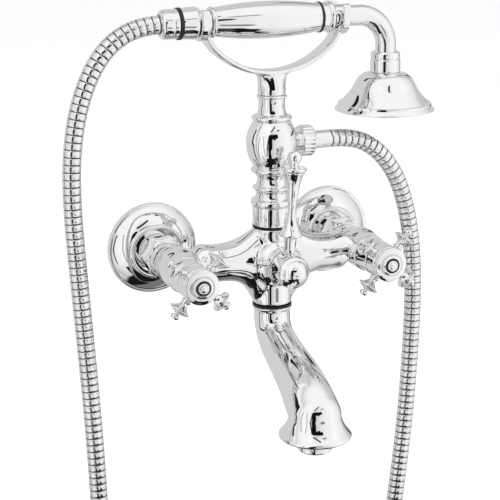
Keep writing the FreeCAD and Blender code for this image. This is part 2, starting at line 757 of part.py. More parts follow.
def make_diverter():
    """Cartridge in the body, bell shroud over it, and the turning spindle, hub and lever."""
    where = (0, 0, size.inlet_rise, "out")
    bore = size.spindle_radius + size.running_gap
    flange = size.diverter_boss_out
    nose = size.headwork_radius
    bell_out = flange + size.bell_length
    lid = bell_out - size.bell_wall
    nose_out = lid - size.hub_gap
    turned("diverter_cartridge", [
        (bore, size.cartridge_start), (size.cartridge_radius, size.cartridge_start),
        (size.cartridge_radius, flange), (nose, flange), (nose, nose_out), (bore, nose_out)], *where)
    mouth_bore = size.bell_mouth_radius - size.bell_wall
    turned("diverter_shroud", [
        (size.bell_radius - size.bell_wall * 2, flange), (size.bell_radius, flange),
        (size.bell_radius, flange + size.bell_rim, -40), (size.bell_mouth_radius, lid),
        (size.bell_mouth_radius, bell_out), (bore + size.loose_gap, bell_out),
        (bore + size.loose_gap, lid), (mouth_bore, lid, 34)], *where)
    back = bell_out + size.hub_gap
    tip = back + size.headwork_flange
    turned("diverter_spindle", [
        (0, size.cartridge_start + size.headwork_flange),
        (size.spindle_radius, size.cartridge_start + size.headwork_flange), (size.spindle_radius, tip),
        (0, tip)], *where)
    shoulder = back + size.lever_hub_length
    apex = shoulder + size.lever_hub_crown
    hub = turned("diverter_hub", [
        (0, tip), (size.spindle_radius, tip), (size.spindle_radius, back),
        (size.lever_hub_back_radius, back),
        (size.lever_hub_radius, back + size.shroud_lid), (size.lever_hub_radius, shoulder, 56),
        (size.lever_hub_front_radius, shoulder + size.lever_hub_shoulder, 60),
        (size.pole_radius, apex), (0, apex)], *where, -SIZES["lever_lean"])
    spin(hub, "stud_hole", [
        (size.stud_depth, 0), (size.lever_start, 0), (size.lever_start, size.stud_radius),
        (size.stud_depth, size.stud_radius)], "PartDesign::Groove", "H_Axis", plane="YZ_Plane",
        offset=(0, back + size.lever_inset, 0))
    collar = size.lever_collar_up
    ball = size.lever_ball_radius
    turned("diverter_lever", [
        (0, size.stud_depth), (size.stud_radius, size.stud_depth), (size.stud_radius, size.lever_start),
        (size.lever_root_radius, size.lever_start), (size.lever_neck_radius, size.lever_neck_up),
        (size.lever_foot_radius, size.lever_foot_up - size.bevel),
        (size.lever_foot_radius, size.lever_foot_up, -50),
        (size.lever_waist_radius, size.lever_waist_up, -24),
        (size.lever_head_radius, size.lever_head_up),
        (size.lever_collar_radius, collar - size.lever_collar_edge), (size.lever_collar_radius, collar),
        (size.lever_waist_radius, collar + size.button_edge),
        (ball * 0.6, size.lever_ball_up - ball * 0.8, 140), (size.pole_radius, size.lever_ball_up + ball),
        (0, size.lever_ball_up + ball)],
        0, -back - size.lever_inset, size.inlet_rise, "leaning")


def bead(radius, height, half, depth):
    """The four points of a bevelled ring in the outline of a turned piece."""
    flat = half * 0.45
    return [(radius - depth, height - half), (radius, height - flat), (radius, height + flat),
            (radius - depth, height + half)]


def make_column():
    """Seal and sleeve on the barrel, and the turned column with its ball and side outlet."""
    seal_top = size.barrel_up + size.column_seal_thickness
    sleeve_top = seal_top + size.sleeve_length
    bore = size.column_thread_radius + size.running_gap
    turned("column_seal", tube(bore, size.column_seal_radius, size.barrel_up, seal_top), *column)
    turned("column_sleeve", tube(bore, size.sleeve_radius, seal_top, sleeve_top), *column)
    foot = size.barrel_up - size.column_thread_depth
    top = size.ball_top_up
    depth = size.ring_half * 0.58
    body = turned("riser_column", [
        (size.column_bore, foot), (size.column_thread_radius, foot),
        (size.column_thread_radius, sleeve_top),
        (size.cove_low_radius, sleeve_top),
        *bead(size.ring_low_radius, size.ring_low_up, size.ring_half, depth),
        (size.ring_mid_radius - depth, size.ring_low_up + size.ring_half, -38),
        (size.cove_low_radius, size.cove_low_up),
        *bead(size.ring_mid_radius, size.ring_mid_up, size.ring_half, depth),
        (size.ring_mid_radius - depth * 2, size.ring_mid_up + size.ring_half, -30),
        (size.cove_mid_radius, size.cove_mid_up),
        *bead(size.ring_high_radius, size.ring_high_up, size.ring_half, depth),
        (size.ball_foot_radius, size.ball_foot_up, 73), (size.ball_top_radius, top),
        (size.stem_thread_radius, top), (size.stem_thread_radius, top - size.stem_thread_depth),
        (size.column_bore, top - size.stem_thread_depth)], *column)
    spin(body, "outlet_hole", [
        (0, 0), (size.outlet_face_reach + size.outlet_shank_radius, 0),
        (size.outlet_face_reach + size.outlet_shank_radius, size.outlet_shank_radius),
        (size.outlet_face_reach - size.outlet_shank_depth, size.outlet_shank_radius),
        (size.outlet_face_reach - size.outlet_shank_depth, size.column_bore * 0.9),
        (0, size.column_bore * 0.9)], "PartDesign::Groove", "H_Axis", offset=(0, size.outlet_up, 0))


def make_cradle():
    """Necked stem on the column, and the yoke: flared foot, bow and two open forks."""
    top = size.ball_top_up
    ring_foot = top + size.flange_height
    neck_top = ring_foot + size.neck_height
    stem_top = neck_top + size.thin_ring_height
    stud = size.column_bore
    turned("cradle_stem", [
        (0, top - size.stem_thread_depth), (size.stem_thread_radius, top - size.stem_thread_depth),
        (size.stem_thread_radius, top), (size.flange_radius - size.bevel, top, 110),
        (size.flange_radius - size.bevel, ring_foot), (size.neck_top_radius, ring_foot, -30),
        (size.neck_top_radius, neck_top), (size.thin_ring_radius, neck_top),
        (size.thin_ring_radius, stem_top), (stud, stem_top), (stud, stem_top + size.yoke_stem_height),
        (0, stem_top + size.yoke_stem_height)], *column)

    yoke = new_body("cradle_yoke")
    place(yoke, 0, -size.column_out, size.inlet_rise + size.handset_up)
    path = new_sketch(yoke, "bow_path")
    draw_bow_path(path)
    strap = new_sketch(yoke, "bow_section", "XY_Plane", (size.bow_reach, 0, 0))
    half_t = size.bow_thickness * 0.5
    half_w = size.bow_width * 0.5
    corner = size.bow_corner
    draw_outline(strap, [
        (corner - half_t, -half_w), (half_t - corner, -half_w), (half_t, corner - half_w),
        (half_t, half_w - corner), (half_t - corner, half_w), (corner - half_t, half_w),
        (-half_t, half_w - corner), (-half_t, corner - half_w)])
    bow = yoke.newObject("PartDesign::AdditivePipe", "bow")
    bow.Profile = strap
    bow.Spine = path
    plate = new_sketch(yoke, "fork_outline", "YZ_Plane", (0, 0, size.fork_inner_reach))
    slot = size.rest_neck_radius + size.loose_gap
    prong = slot + size.fork_wall
    draw_outline(plate, [(-prong, 0, 180), (prong, 0), (prong, size.fork_up, 90),
                         (slot, size.fork_up + size.fork_wall), (-slot, size.fork_up + size.fork_wall, 90),
                         (-prong, size.fork_up)])
    fork = yoke.newObject("PartDesign::Pad", "fork")
    fork.Profile = plate
    bind(fork, "Length", size.fork_width)
    forks = yoke.newObject("PartDesign::Mirrored", "forks")
    forks.Originals = [fork]
    forks.MirrorPlane = (origin_plane(yoke, "YZ_Plane"), [""])
    yoke.Tip = forks
    foot_top = size.bow_foot_reach * 0.05 - size.bow_drop + size.loose_gap * 2
    foot_low = stem_top - size.handset_up + size.yoke_stem_height
    lower = new_sketch(yoke, "foot_low", "XY_Plane", (0, 0, foot_low))
    ring = lower.addGeometry(Part.Circle(Vector(0, 0, 0), Vector(0, 0, 1), size.yoke_stem_radius.value))
    constrain(lower, "Coincident", ring, 3, -1, 1)
    constrain(lower, "Radius", ring, length=size.yoke_stem_radius)
    upper = new_sketch(yoke, "foot_top", "XY_Plane", (0, 0, foot_top))
    draw_oval(upper, size.bow_foot_reach, half_w - corner)
    foot = yoke.newObject("PartDesign::AdditiveLoft", "foot")
    foot.Profile = lower
    foot.Sections = [upper]
    spin(yoke, "foot_drum", [
        (0, stem_top - size.handset_up), (size.yoke_stem_radius, stem_top - size.handset_up),
        (size.yoke_stem_radius, foot_low), (0, foot_low)])
    spin(yoke, "stud_bore", [
        (0, stem_top - size.handset_up), (stud, stem_top - size.handset_up), (stud, foot_low),
        (0, foot_low)],
        "PartDesign::Groove")
    channel = new_sketch(yoke, "channel_outline", "YZ_Plane")
    roof = size.fork_up + size.fork_wall * 2
    draw_outline(channel, [(-slot, 0, 180), (slot, 0), (slot, roof), (-slot, roof)])
    cut = yoke.newObject("PartDesign::Pocket", "channel")
    cut.Profile = channel
    cut.SideType = "Symmetric"
    bind(cut, "Length", (size.fork_inner_reach + size.fork_width) * 2.1)
    subparts.append(yoke)


def draw_oval(sketch, reach, half_width):
    """A flat oval: two straight sides with half-round ends."""
    straight = reach - half_width
    draw_outline(sketch, [(-straight, -half_width), (straight, -half_width, 180), (straight, half_width),
                          (-straight, half_width, 180)])


def draw_bow_path(sketch):
    """The bow's centreline: a wide bottom arc between two side arcs that end upright under the forks."""
    reach = size.bow_reach.value
    drop = size.bow_drop.value
    side = size.bow_side_radius.value
    inset = reach - side
    rise = (inset ** 2 - (drop - side) ** 2) / (2 * (drop - side))
    wide = rise + drop
    lean = math.atan2(rise, inset)
    joint = Vector(inset + side * math.cos(lean), -side * math.sin(lean), 0)
    across = Vector(-joint.x, joint.y, 0)
    steep = lean / 2
    right = sketch.addGeometry(Part.Arc(
        joint, Vector(inset + side * math.cos(steep), -side * math.sin(steep), 0), Vector(reach, 0, 0)))
    bottom = sketch.addGeometry(Part.Arc(across, Vector(0, -drop, 0), joint))
    left = sketch.addGeometry(Part.Arc(
        Vector(-reach, 0, 0), Vector(-inset - side * math.cos(steep), -side * math.sin(steep), 0), across))
    low = sketch.addGeometry(Part.Point(Vector(0, -drop, 0)), True)
    constrain(sketch, "Tangent", right, 1, bottom, 2)
    constrain(sketch, "Tangent", bottom, 1, left, 2)
    constrain(sketch, "PointOnObject", right, 3, -1)
    constrain(sketch, "PointOnObject", left, 3, -1)
    constrain(sketch, "PointOnObject", bottom, 3, -2)
    constrain(sketch, "PointOnObject", low, 1, bottom)
    constrain(sketch, "PointOnObject", low, 1, -2)
    constrain(sketch, "PointOnObject", right, 2, -1)
    constrain(sketch, "PointOnObject", left, 1, -1)
    constrain(sketch, "DistanceX", -1, 1, right, 2, length=size.bow_reach)
    constrain(sketch, "DistanceY", -1, 1, low, 1, length=-size.bow_drop)
    constrain(sketch, "Radius", right, length=size.bow_side_radius)
    constrain(sketch, "Radius", left, length=size.bow_side_radius)


handset = (0, -size.column_out, size.inlet_rise + size.handset_up)


def make_handset_handle():
    """Tail with its thread, rest neck and inner tube, swelling grip, seal, and collar."""
    along = (*handset, "right")
    tail = -size.tail_end_reach
    grip_right = size.grip_right_reach
    seal_right = grip_right + size.grip_seal_width
    shoulder = size.tail_shoulder_reach - size.rest_neck_outer
    turned("handset_tail", [
        (size.inner_tube_bore, tail - size.handset_thread_length),
        (size.handset_thread_radius, tail - size.handset_thread_length), (size.handset_thread_radius, tail),
        (size.tail_end_radius, tail), (size.tail_shoulder_radius, -size.tail_shoulder_reach),
        (size.tail_shoulder_radius - shoulder, -size.rest_neck_outer),
        (size.rest_neck_radius, -size.rest_neck_outer), (size.rest_neck_radius, -size.rest_neck_inner),
        (size.inner_tube_radius, -size.rest_neck_inner), (size.inner_tube_radius, seal_right),
        (size.inner_tube_bore, seal_right)], *along)
    bead_end = size.grip_bead_width - size.rest_neck_inner
    turned("handset_grip", [
        (size.grip_bore, -size.rest_neck_inner),
        (size.grip_bead_radius - size.fine_bevel, -size.rest_neck_inner, 110),
        (size.grip_bead_radius - size.fine_bevel, bead_end),
        (size.grip_end_radius, bead_end, size_sweep(size.grip_swell)),
        (size.grip_end_radius, grip_right), (size.grip_bore, grip_right)], *along)
    turned("grip_seal", tube(size.grip_bore, size.grip_seal_radius, grip_right, seal_right), *along)
    collar_bead = size.collar_bead_reach
    turned("handset_collar", [
        (size.inner_tube_bore, seal_right), (size.tail_end_radius, seal_right),
        (size.tail_end_radius - size.fine_bevel, collar_bead - size.ring_half),
        (size.collar_bead_radius - 0.8, collar_bead - size.ring_half, 100),
        (size.collar_bead_radius - 0.8, collar_bead + size.ring_half),
        (size.rest_neck_radius, size.collar_end_reach), (size.rest_neck_radius, size.elbow_start),
        (size.inner_tube_bore, size.elbow_start)], *along)


def size_sweep(angle):
    """An arc angle taken from the sheet's value."""
    return angle.value


def make_elbow():
    """Bent tube from the collar down to the shower head."""
    body = new_body("handset_elbow")
    place(body, *handset)
    path = new_sketch(body, "elbow_path")
    start = size.elbow_start
    bend = size.elbow_bend
    corner = size.bell_axis_reach - bend
    lines = [Part.LineSegment(Vector(start.value, 0, 0), Vector(corner.value, 0, 0)),
             Part.LineSegment(Vector(size.bell_axis_reach.value, -bend.value, 0),
                              Vector(size.bell_axis_reach.value, -size.elbow_drop.value, 0))]
    first, last = (path.addGeometry(line) for line in lines)
    diagonal = bend.value * math.sqrt(0.5)
    arc = path.addGeometry(Part.Arc(
        Vector(size.bell_axis_reach.value, -bend.value, 0),
        Vector(corner.value + diagonal, diagonal - bend.value, 0), Vector(corner.value, 0, 0)))
    constrain(path, "Tangent", first, 2, arc, 2)
    constrain(path, "Tangent", arc, 1, last, 1)
    constrain(path, "PointOnObject", first, 1, -1)
    constrain(path, "Horizontal", first)
    constrain(path, "DistanceX", -1, 1, first, 1, length=start)
    constrain(path, "Radius", arc, length=bend)
    constrain(path, "DistanceX", -1, 1, last, 2, length=size.bell_axis_reach)
    constrain(path, "DistanceY", -1, 1, last, 2, length=-size.elbow_drop)
    constrain(path, "Vertical", last)
    ring = new_sketch(body, "elbow_section", "YZ_Plane", (0, 0, start))
    for radius in (size.elbow_radius, size.elbow_bore):
        edge = ring.addGeometry(Part.Circle(Vector(0, 0, 0), Vector(0, 0, 1), radius.value))
        constrain(ring, "Coincident", edge, 3, -1, 1)
        constrain(ring, "Radius", edge, length=radius)
    pipe = body.newObject("PartDesign::AdditivePipe", "elbow_bend_pipe")
    pipe.Profile = ring
    pipe.Spine = path
    subparts.append(body)


def make_shower_head():
    """Cap and ferrule on the elbow, the hollow bell and the spray plate with its holes."""
    x, y, z = handset
    down = (size.bell_axis_reach, y, z, "down")
    bore = size.elbow_radius + size.running_gap
    turned("elbow_ferrule", [
        (bore, size.cap_top), (size.cap_radius - size.cap_round, size.cap_top, 90),
        (size.cap_radius, size.cap_top + size.cap_round),
        (size.cap_radius, size.cap_bottom - size.fine_bevel),
        (size.cap_radius - size.fine_bevel, size.cap_bottom),
        (size.ferrule_radius, size.cap_bottom + size.fine_bevel),
        (size.ferrule_radius, size.ferrule_bottom),
        (size.elbow_bore, size.ferrule_bottom), (size.elbow_bore, size.elbow_drop),
        (bore, size.elbow_drop)],
        *down)
    wall = size.head_wall
    plate_top = size.head_rim_drop - size.spray_plate_thickness
    turned("shower_bell", [
        (size.elbow_bore, size.ferrule_bottom),
        (size.ferrule_radius + size.bevel, size.ferrule_bottom, -20),
        (size.head_shoulder_radius, size.head_shoulder_drop, 40),
        (size.head_waist_radius, size.head_waist_drop, 8),
        (size.head_skirt_radius, size.head_skirt_drop, 20), (size.head_rim_radius, size.head_rim_drop, 30),
        (size.head_rim_radius - 0.8, size.head_bottom_drop),
        (size.head_rim_radius - wall, size.head_bottom_drop),
        (size.head_rim_radius - wall, plate_top), (size.head_skirt_radius - wall, plate_top),
        (size.head_waist_radius - wall, size.head_waist_drop + wall),
        (size.elbow_bore, size.head_shoulder_drop + wall)], *down)
    plate = turned("spray_plate", [
        (0, plate_top), (size.head_rim_radius - wall - size.running_gap, plate_top),
        (size.head_rim_radius - wall - size.running_gap, size.head_rim_drop),
        (0, size.head_rim_drop)], *down)
    doc.recompute()
    previous = None
    for name, count, radius in (("outer_holes", SPRAY_OUTER_HOLES, size.spray_ring_radius),
                                ("inner_holes", SPRAY_INNER_HOLES, size.spray_inner_ring_radius)):
        spot = new_sketch(plate, name + "_spot", "XY_Plane", (0, 0, plate_top))
        edge = spot.addGeometry(Part.Circle(Vector(radius.value, 0, 0), Vector(0, 0, 1),
                                            size.spray_hole_radius.value))
        constrain(spot, "PointOnObject", edge, 3, -1)
        constrain(spot, "DistanceX", -1, 1, edge, 3, length=radius)
        constrain(spot, "Radius", edge, length=size.spray_hole_radius)
        hole = plate.newObject("PartDesign::Pocket", name + "_first")
        hole.Profile = spot
        hole.Reversed = True
        bind(hole, "Length", size.spray_plate_thickness)
        ring = plate.newObject("PartDesign::PolarPattern", name)
        ring.Originals = [hole]
        ring.Axis = (origin_plane(plate, "Z_Axis"), [""])
        ring.Angle = 360.0
        ring.Occurrences = count
        plate.Tip = ring


def make_hose_fittings():
    """Outlet on the ball, washer, fluted nut and ferrule below; nut and seal at the hand shower."""
    x, y, z = column
    along = (x, y, z + size.outlet_up, "right")
    collar = size.outlet_collar_reach
    thread_end = size.outlet_thread_reach
    washer_end = thread_end + size.hose_washer_thickness
    flange_end = washer_end + size.ferrule_flange
    nut_end = flange_end + size.lower_nut_lip
    bore = size.inner_tube_bore
    turned("hose_outlet", [
        (bore, size.outlet_face_reach - size.outlet_shank_depth),
        (size.outlet_shank_radius, size.outlet_face_reach - size.outlet_shank_depth),
        (size.outlet_shank_radius, size.outlet_face_reach + size.outlet_neck),
        (size.outlet_collar_radius, size.outlet_face_reach + size.outlet_neck),
        (size.outlet_collar_radius, collar),
        (size.outlet_thread_radius, collar), (size.outlet_thread_radius, thread_end), (bore, thread_end)],
        *along)
    turned("hose_washer_lower", tube(bore, size.outlet_thread_radius, thread_end, washer_end), *along)
    nut = turned("hose_nut_lower", [
        (size.outlet_thread_radius + size.running_gap, nut_end - size.lower_nut_length),
        (size.lower_nut_radius, nut_end - size.lower_nut_length),
        (size.lower_nut_radius, nut_end - size.lower_nut_lip),
        (size.lower_nut_radius - size.lower_nut_lip, nut_end),
        (size.hose_radius + size.running_gap, nut_end), (size.hose_radius + size.running_gap, flange_end),
        (size.outlet_thread_radius + size.running_gap, flange_end)], *along)
    doc.recompute()
    flute_centre = size.lower_nut_radius + size.flute_radius * 0.6
    spot = new_sketch(nut, "flute_spot", "XY_Plane", (0, 0, nut_end - size.lower_nut_length))
    edge = spot.addGeometry(Part.Circle(Vector(flute_centre.value, 0, 0), Vector(0, 0, 1),
                                        size.flute_radius.value))
    constrain(spot, "PointOnObject", edge, 3, -1)
    constrain(spot, "DistanceX", -1, 1, edge, 3, length=flute_centre)
    constrain(spot, "Radius", edge, length=size.flute_radius)
    flute = nut.newObject("PartDesign::Pocket", "flute")
    flute.Profile = spot
    flute.Reversed = True
    bind(flute, "Length", size.lower_nut_length)
    flutes = nut.newObject("PartDesign::PolarPattern", "flutes")
    flutes.Originals = [flute]
    flutes.Axis = (origin_plane(nut, "Z_Axis"), [""])
    flutes.Angle = 360.0
    flutes.Occurrences = LOWER_NUT_FLUTES
    nut.Tip = flutes
    turned("hose_ferrule_lower", [
        (size.hose_bore, washer_end), (size.outlet_thread_radius, washer_end),
        (size.outlet_thread_radius, flange_end), (size.hose_radius, flange_end),
        (size.hose_radius, size.hose_ferrule_reach), (size.hose_bore, size.hose_ferrule_reach)], *along)

    x, y, z = handset
    here = (x, y, z, "left")
    nut_face = size.upper_nut_reach - size.upper_nut_length
    seat = size.upper_nut_reach - size.hose_entry
    thread = size.handset_thread_radius + size.running_gap
    thread_end = size.tail_end_reach + size.handset_thread_length
    entry = size.hose_radius + size.loose_gap
    turned("hose_seal_upper", tube(thread, size.hose_seal_radius, size.tail_end_reach, nut_face), *here)
    turned("hose_nut_upper", [
        (thread, nut_face), (size.upper_nut_radius, nut_face),
        (size.upper_nut_radius, size.upper_nut_reach - size.upper_nut_round, 90),
        (entry + size.fine_bevel, size.upper_nut_reach),
        (entry, size.upper_nut_reach), (entry, seat), (size.hose_bore, seat), (size.hose_bore, thread_end),
        (thread, thread_end)], *here)


def make_spout():
    """Swivel nipple with its O-ring, seal, the curved spout with a flared mouth, grub screw and aerator."""
    x, y, z = column
    down = (x, y, z, "down")
    seal_bottom = size.barrel_down + size.spout_seal_thickness
    nipple_top = size.barrel_down - size.nipple_thread_up
    groove = size.nipple_radius - size.oring_half
    ring_top = size.oring_down - size.oring_half
    ring_bottom = size.oring_down + size.oring_half
    turned("spout_nipple", [
        (size.nipple_bore, nipple_top), (size.nipple_thread_radius, nipple_top),
        (size.nipple_thread_radius, size.barrel_down), (size.nipple_radius, size.barrel_down),
        (size.nipple_radius, ring_top), (groove, ring_top), (groove, ring_bottom),
        (size.nipple_radius, ring_bottom),
        (size.nipple_radius, size.nipple_bottom), (size.nipple_bore, size.nipple_bottom)], *down)
    turned("spout_oring", tube(groove, size.nipple_radius, ring_top, ring_bottom), *down)
    socket = size.nipple_radius + size.running_gap
    turned("spout_seal", tube(socket, size.spout_seal_radius, size.barrel_down, seal_bottom), *down)

    drop = size.spout_elbow_down - size.spout_root_down
    swell = size.spout_elbow_radius - size.spout_root_radius
    spout_top = seal_bottom + size.running_gap
    lofts = {}
    for name, growth in (("tube", swell), ("waterway", None)):
        sections = []
        for index, (reach_share, drop_share, slope, radius_share) in enumerate(SPOUT_SECTIONS):
            ring = doc.addObject("Part::Circle", f"spout_{name}_{index}")
            place(ring, 0, y - size.spout_reach * reach_share, z - size.spout_root_down - drop * drop_share)
            ring.Placement.Rotation = FreeCAD.Rotation(Vector(1, 0, 0), slope - 90.0)
            wide = size.spout_root_radius + swell * radius_share
            bind(ring, "Radius", wide if growth else size.spout_waterway)
            sections.append(ring)
        loft = doc.addObject("Part::Loft", f"spout_{name}")
        loft.Sections = sections
        loft.Solid = True
        lofts[name] = loft
    mouth = (0, y - size.spout_reach, z, "down")
    step = size.spout_collar_radius - size.spout_root_radius
    overlap = size.running_gap
    root_end = size.spout_root_down + overlap
    socket_piece = turned("spout_socket", [
        (0, spout_top), (size.spout_collar_radius, spout_top), (size.spout_collar_radius, spout_top + step),
        (size.spout_root_radius, spout_top + step * 2), (size.spout_root_radius - overlap, root_end),
        (0, root_end)], *down, keep=False)
    rim = size.spout_elbow_down + size.spout_skirt
    rim_bottom = rim + size.spout_lip
    bell = turned("spout_bell", [
        (0, size.spout_elbow_down - size.spout_elbow_radius, 90),
        (size.spout_elbow_radius, size.spout_elbow_down, -40),
        (size.spout_rim_radius, rim), (size.spout_rim_radius, rim_bottom - size.bevel),
        (size.spout_rim_radius - size.bevel, rim_bottom), (0, rim_bottom)], *mouth, keep=False)
    socket_bore = turned("spout_socket_bore", [
        (0, spout_top - size.bevel), (socket, spout_top - size.bevel), (socket, size.spout_socket_down),
        (0, size.spout_socket_down)], *down, keep=False)
    thread = size.aerator_thread_radius + size.running_gap
    thread_roof = rim_bottom - size.aerator_thread_length
    mouth_bore = turned("spout_mouth_bore", [
        (0, size.spout_elbow_down - size.spout_waterway, 90), (size.spout_waterway, size.spout_elbow_down),
        (size.spout_waterway, thread_roof), (thread, thread_roof), (thread, rim_bottom + size.bevel),
        (0, rim_bottom + size.bevel)], *mouth, keep=False)
    screw_height = z - size.spout_screw_down
    screw_hole = turned("spout_screw_hole", [
        (0, 0), (size.spout_screw_radius, 0),
        (size.spout_screw_radius, size.spout_collar_radius + size.bevel),
        (0, size.spout_collar_radius + size.bevel)], x, y, screw_height, "back", keep=False)
    outside = doc.addObject("Part::MultiFuse", "spout_outside")
    outside.Shapes = [lofts["tube"], socket_piece, bell]
    inside = doc.addObject("Part::MultiFuse", "spout_inside")
    inside.Shapes = [lofts["waterway"], socket_bore, mouth_bore, screw_hole]
    combine("Part::Cut", "spout", outside, inside)
    turned("spout_screw", [
        (0, socket + size.loose_gap), (size.spout_screw_radius, socket + size.loose_gap),
        (size.spout_screw_radius, size.spout_root_radius - size.fine_bevel),
        (0, size.spout_root_radius - size.fine_bevel)],
        x, y, screw_height, "back")

    bottom = rim_bottom + size.aerator_length
    insert_foot = bottom - size.insert_inset
    thread_top = thread_roof + size.aerator_washer_thickness
    inner = size.aerator_thread_radius - size.insert_wall
    turned("aerator_washer", tube(size.spout_waterway, size.aerator_thread_radius, thread_roof, thread_top),
           *mouth)
    turned("aerator_housing", [
        (inner, thread_top), (size.aerator_thread_radius, thread_top),
        (size.aerator_thread_radius, rim_bottom),
        (size.aerator_radius, rim_bottom), (size.aerator_radius, bottom - size.bevel),
        (size.aerator_radius - size.bevel, bottom), (size.aerator_bore, bottom),
        (size.aerator_bore, rim_bottom + size.aerator_seat),
        (inner, rim_bottom + size.aerator_seat)], *mouth)
    insert_top = rim_bottom + size.aerator_seat
    turned("aerator_insert", tube(size.insert_hole, size.aerator_bore, insert_top, insert_foot), *mouth)


def route_path():
    """The hose's centreline as one wire: straight runs joined by tangent arcs, and the arcs' radii."""
    lift = SIZES["inlet_rise"]
    points = [Vector(reach, -SIZES["column_out"], up + lift) for reach, up in HOSE_ROUTE]
    edges = []
    radii = []
    start = points[0]
    for before, corner, after in zip(points, points[1:], points[2:]):
        back = before - corner
        ahead = after - corner
        half_turn = (math.pi - back.getAngle(ahead)) / 2
        cut = 0.45 * min(back.Length, ahead.Length)
        radius = cut / math.tan(half_turn)
        enter = corner + back.normalize() * cut
        leave = corner + ahead.normalize() * cut
        middle = corner + (back + ahead).normalize() * (radius / math.cos(half_turn) - radius)
        edges.append(Part.LineSegment(start, enter).toShape())
        edges.append(Part.Arc(enter, middle, leave).toShape())
        radii.append(radius)
        start = leave
    edges.append(Part.LineSegment(start, points[-1]).toShape())
    return Part.Wire(edges), radii


def point_on(wire, distance):
    """The point at a distance along a wire, and the way the wire runs there."""
    for edge in wire.OrderedEdges:
        if distance <= edge.Length:
            break
        distance -= edge.Length
    at = edge.getParameterByLength(min(distance, edge.Length))
    return edge.valueAt(at), edge.tangentAt(at)


def ring_at(wire, distance, radius):
    """A circle square to the wire, its seam always on the side toward the wall."""
    centre, forward = point_on(wire, distance)
    side = Vector(0, 1, 0)
    turn = FreeCAD.Rotation(side, forward.cross(side), forward, "ZXY")
    circle = Part.Circle(Vector(0, 0, 0), Vector(0, 0, 1), radius).toShape()
    circle.Placement = FreeCAD.Placement(centre, turn)
    return Part.Wire([circle])


def make_hose():
    """Ribbed hose: a ruled skin through four rings at each rib, a plain bore, and two flat ends."""
    wire, radii = route_path()
    length = wire.Length
    crest = sheet.get("hose_radius")
    groove = sheet.get("hose_groove_radius")
    bore = sheet.get("hose_bore")
    pitch = length / HOSE_RIBS
    rib = ((0.08, crest), (0.80, crest), (0.86, groove), (0.98, groove))
    rings = [ring_at(wire, 0, crest)]
    for index in range(HOSE_RIBS):
        rings += [ring_at(wire, (index + share) * pitch, radius) for share, radius in rib]
    rings.append(ring_at(wire, length, groove))
    skin = Part.makeLoft(rings, True, True)
    steps = len(HOSE_ROUTE) + HOSE_RIBS // 4
    bores = [ring_at(wire, length * index / steps, bore) for index in range(steps + 1)]
    solid = skin.cut(Part.makeLoft(bores, True, True))
    hose = doc.addObject("Part::Feature", "hose")
    hose.Label = "hose"
    hose.Shape = solid
    subparts.append(hose)
    section = math.pi * ((0.78 * crest ** 2 + 0.22 * groove ** 2) - bore ** 2)
    print(f"hose: {length:.0f} mm long, arc radii {min(radii):.0f} to {max(radii):.0f} mm")
    print(f"hose: volume {solid.Volume:.0f} mm3, section by length {section * length:.0f} mm3")


for side_name, side_reach in inlets.items():
    make_wall_union(side_name, side_reach)
    make_rose(side_name, side_reach)
    make_union_nut(side_name, side_reach)
    make_washer(side_name, side_reach)
    make_valve(side_name, side_reach)
    make_cross_handle(side_name, side_reach)
make_body()
make_diverter()
make_column()
make_cradle()
make_handset_handle()
make_elbow()
make_shower_head()
make_hose_fittings()
make_spout()
make_hose()

doc.recompute()
for item in doc.Objects:
    if "Invalid" in item.State or "Error" in item.State:
        raise RuntimeError(f"{item.Name} failed: {item.State}")
for part in subparts:
    if part.Shape.isNull() or not part.Shape.isValid() or part.Shape.Volume <= 0:
        raise RuntimeError(f"{part.Label} has no valid solid")

os.makedirs("parts", exist_ok=True)
for part in subparts:
    part.Shape.exportStep(f"parts/{part.Label}.step")
print(f"{len(subparts)} sub-parts written")
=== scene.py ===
"""Looks of the wall-mounted bath mixer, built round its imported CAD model.

Every length in the outlines below is in millimetres and in the mixer's own frame: +Z is up, the wall is
at Y = 0, the mixer stands off it toward -Y, and the origin is midway between the two wall tails. A turned
piece is given by its outline, a row of (distance from the axis, height along it). A third number there
bends the edge that follows into an arc of so many degrees, out where it is positive and hollow where it
is negative.
"""
import json

import bmesh
import bpy
import numpy as np
from mathutils import Matrix, Vector


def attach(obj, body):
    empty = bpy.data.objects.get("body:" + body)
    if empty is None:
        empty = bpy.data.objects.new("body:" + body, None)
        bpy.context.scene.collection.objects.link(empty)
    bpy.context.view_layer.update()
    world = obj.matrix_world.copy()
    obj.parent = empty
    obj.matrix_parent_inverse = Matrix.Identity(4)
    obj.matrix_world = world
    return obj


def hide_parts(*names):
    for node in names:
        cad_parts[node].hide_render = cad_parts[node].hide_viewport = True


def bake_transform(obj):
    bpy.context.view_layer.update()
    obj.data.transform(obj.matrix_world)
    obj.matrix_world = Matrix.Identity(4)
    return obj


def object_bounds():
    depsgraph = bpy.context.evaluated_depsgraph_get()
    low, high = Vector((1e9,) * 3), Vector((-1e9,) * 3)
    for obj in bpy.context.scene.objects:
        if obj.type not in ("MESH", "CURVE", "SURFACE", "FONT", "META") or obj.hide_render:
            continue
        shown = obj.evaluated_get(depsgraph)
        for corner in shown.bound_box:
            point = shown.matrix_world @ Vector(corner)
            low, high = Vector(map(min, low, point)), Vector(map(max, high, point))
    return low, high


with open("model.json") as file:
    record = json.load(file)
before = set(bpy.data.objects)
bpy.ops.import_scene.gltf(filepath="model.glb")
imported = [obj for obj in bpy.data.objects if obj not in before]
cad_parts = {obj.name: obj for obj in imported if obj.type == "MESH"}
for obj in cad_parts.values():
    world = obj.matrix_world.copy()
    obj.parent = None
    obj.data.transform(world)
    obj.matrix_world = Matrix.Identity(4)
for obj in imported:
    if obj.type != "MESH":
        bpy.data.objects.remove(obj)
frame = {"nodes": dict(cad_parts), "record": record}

cad_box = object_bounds()

MM = 0.001

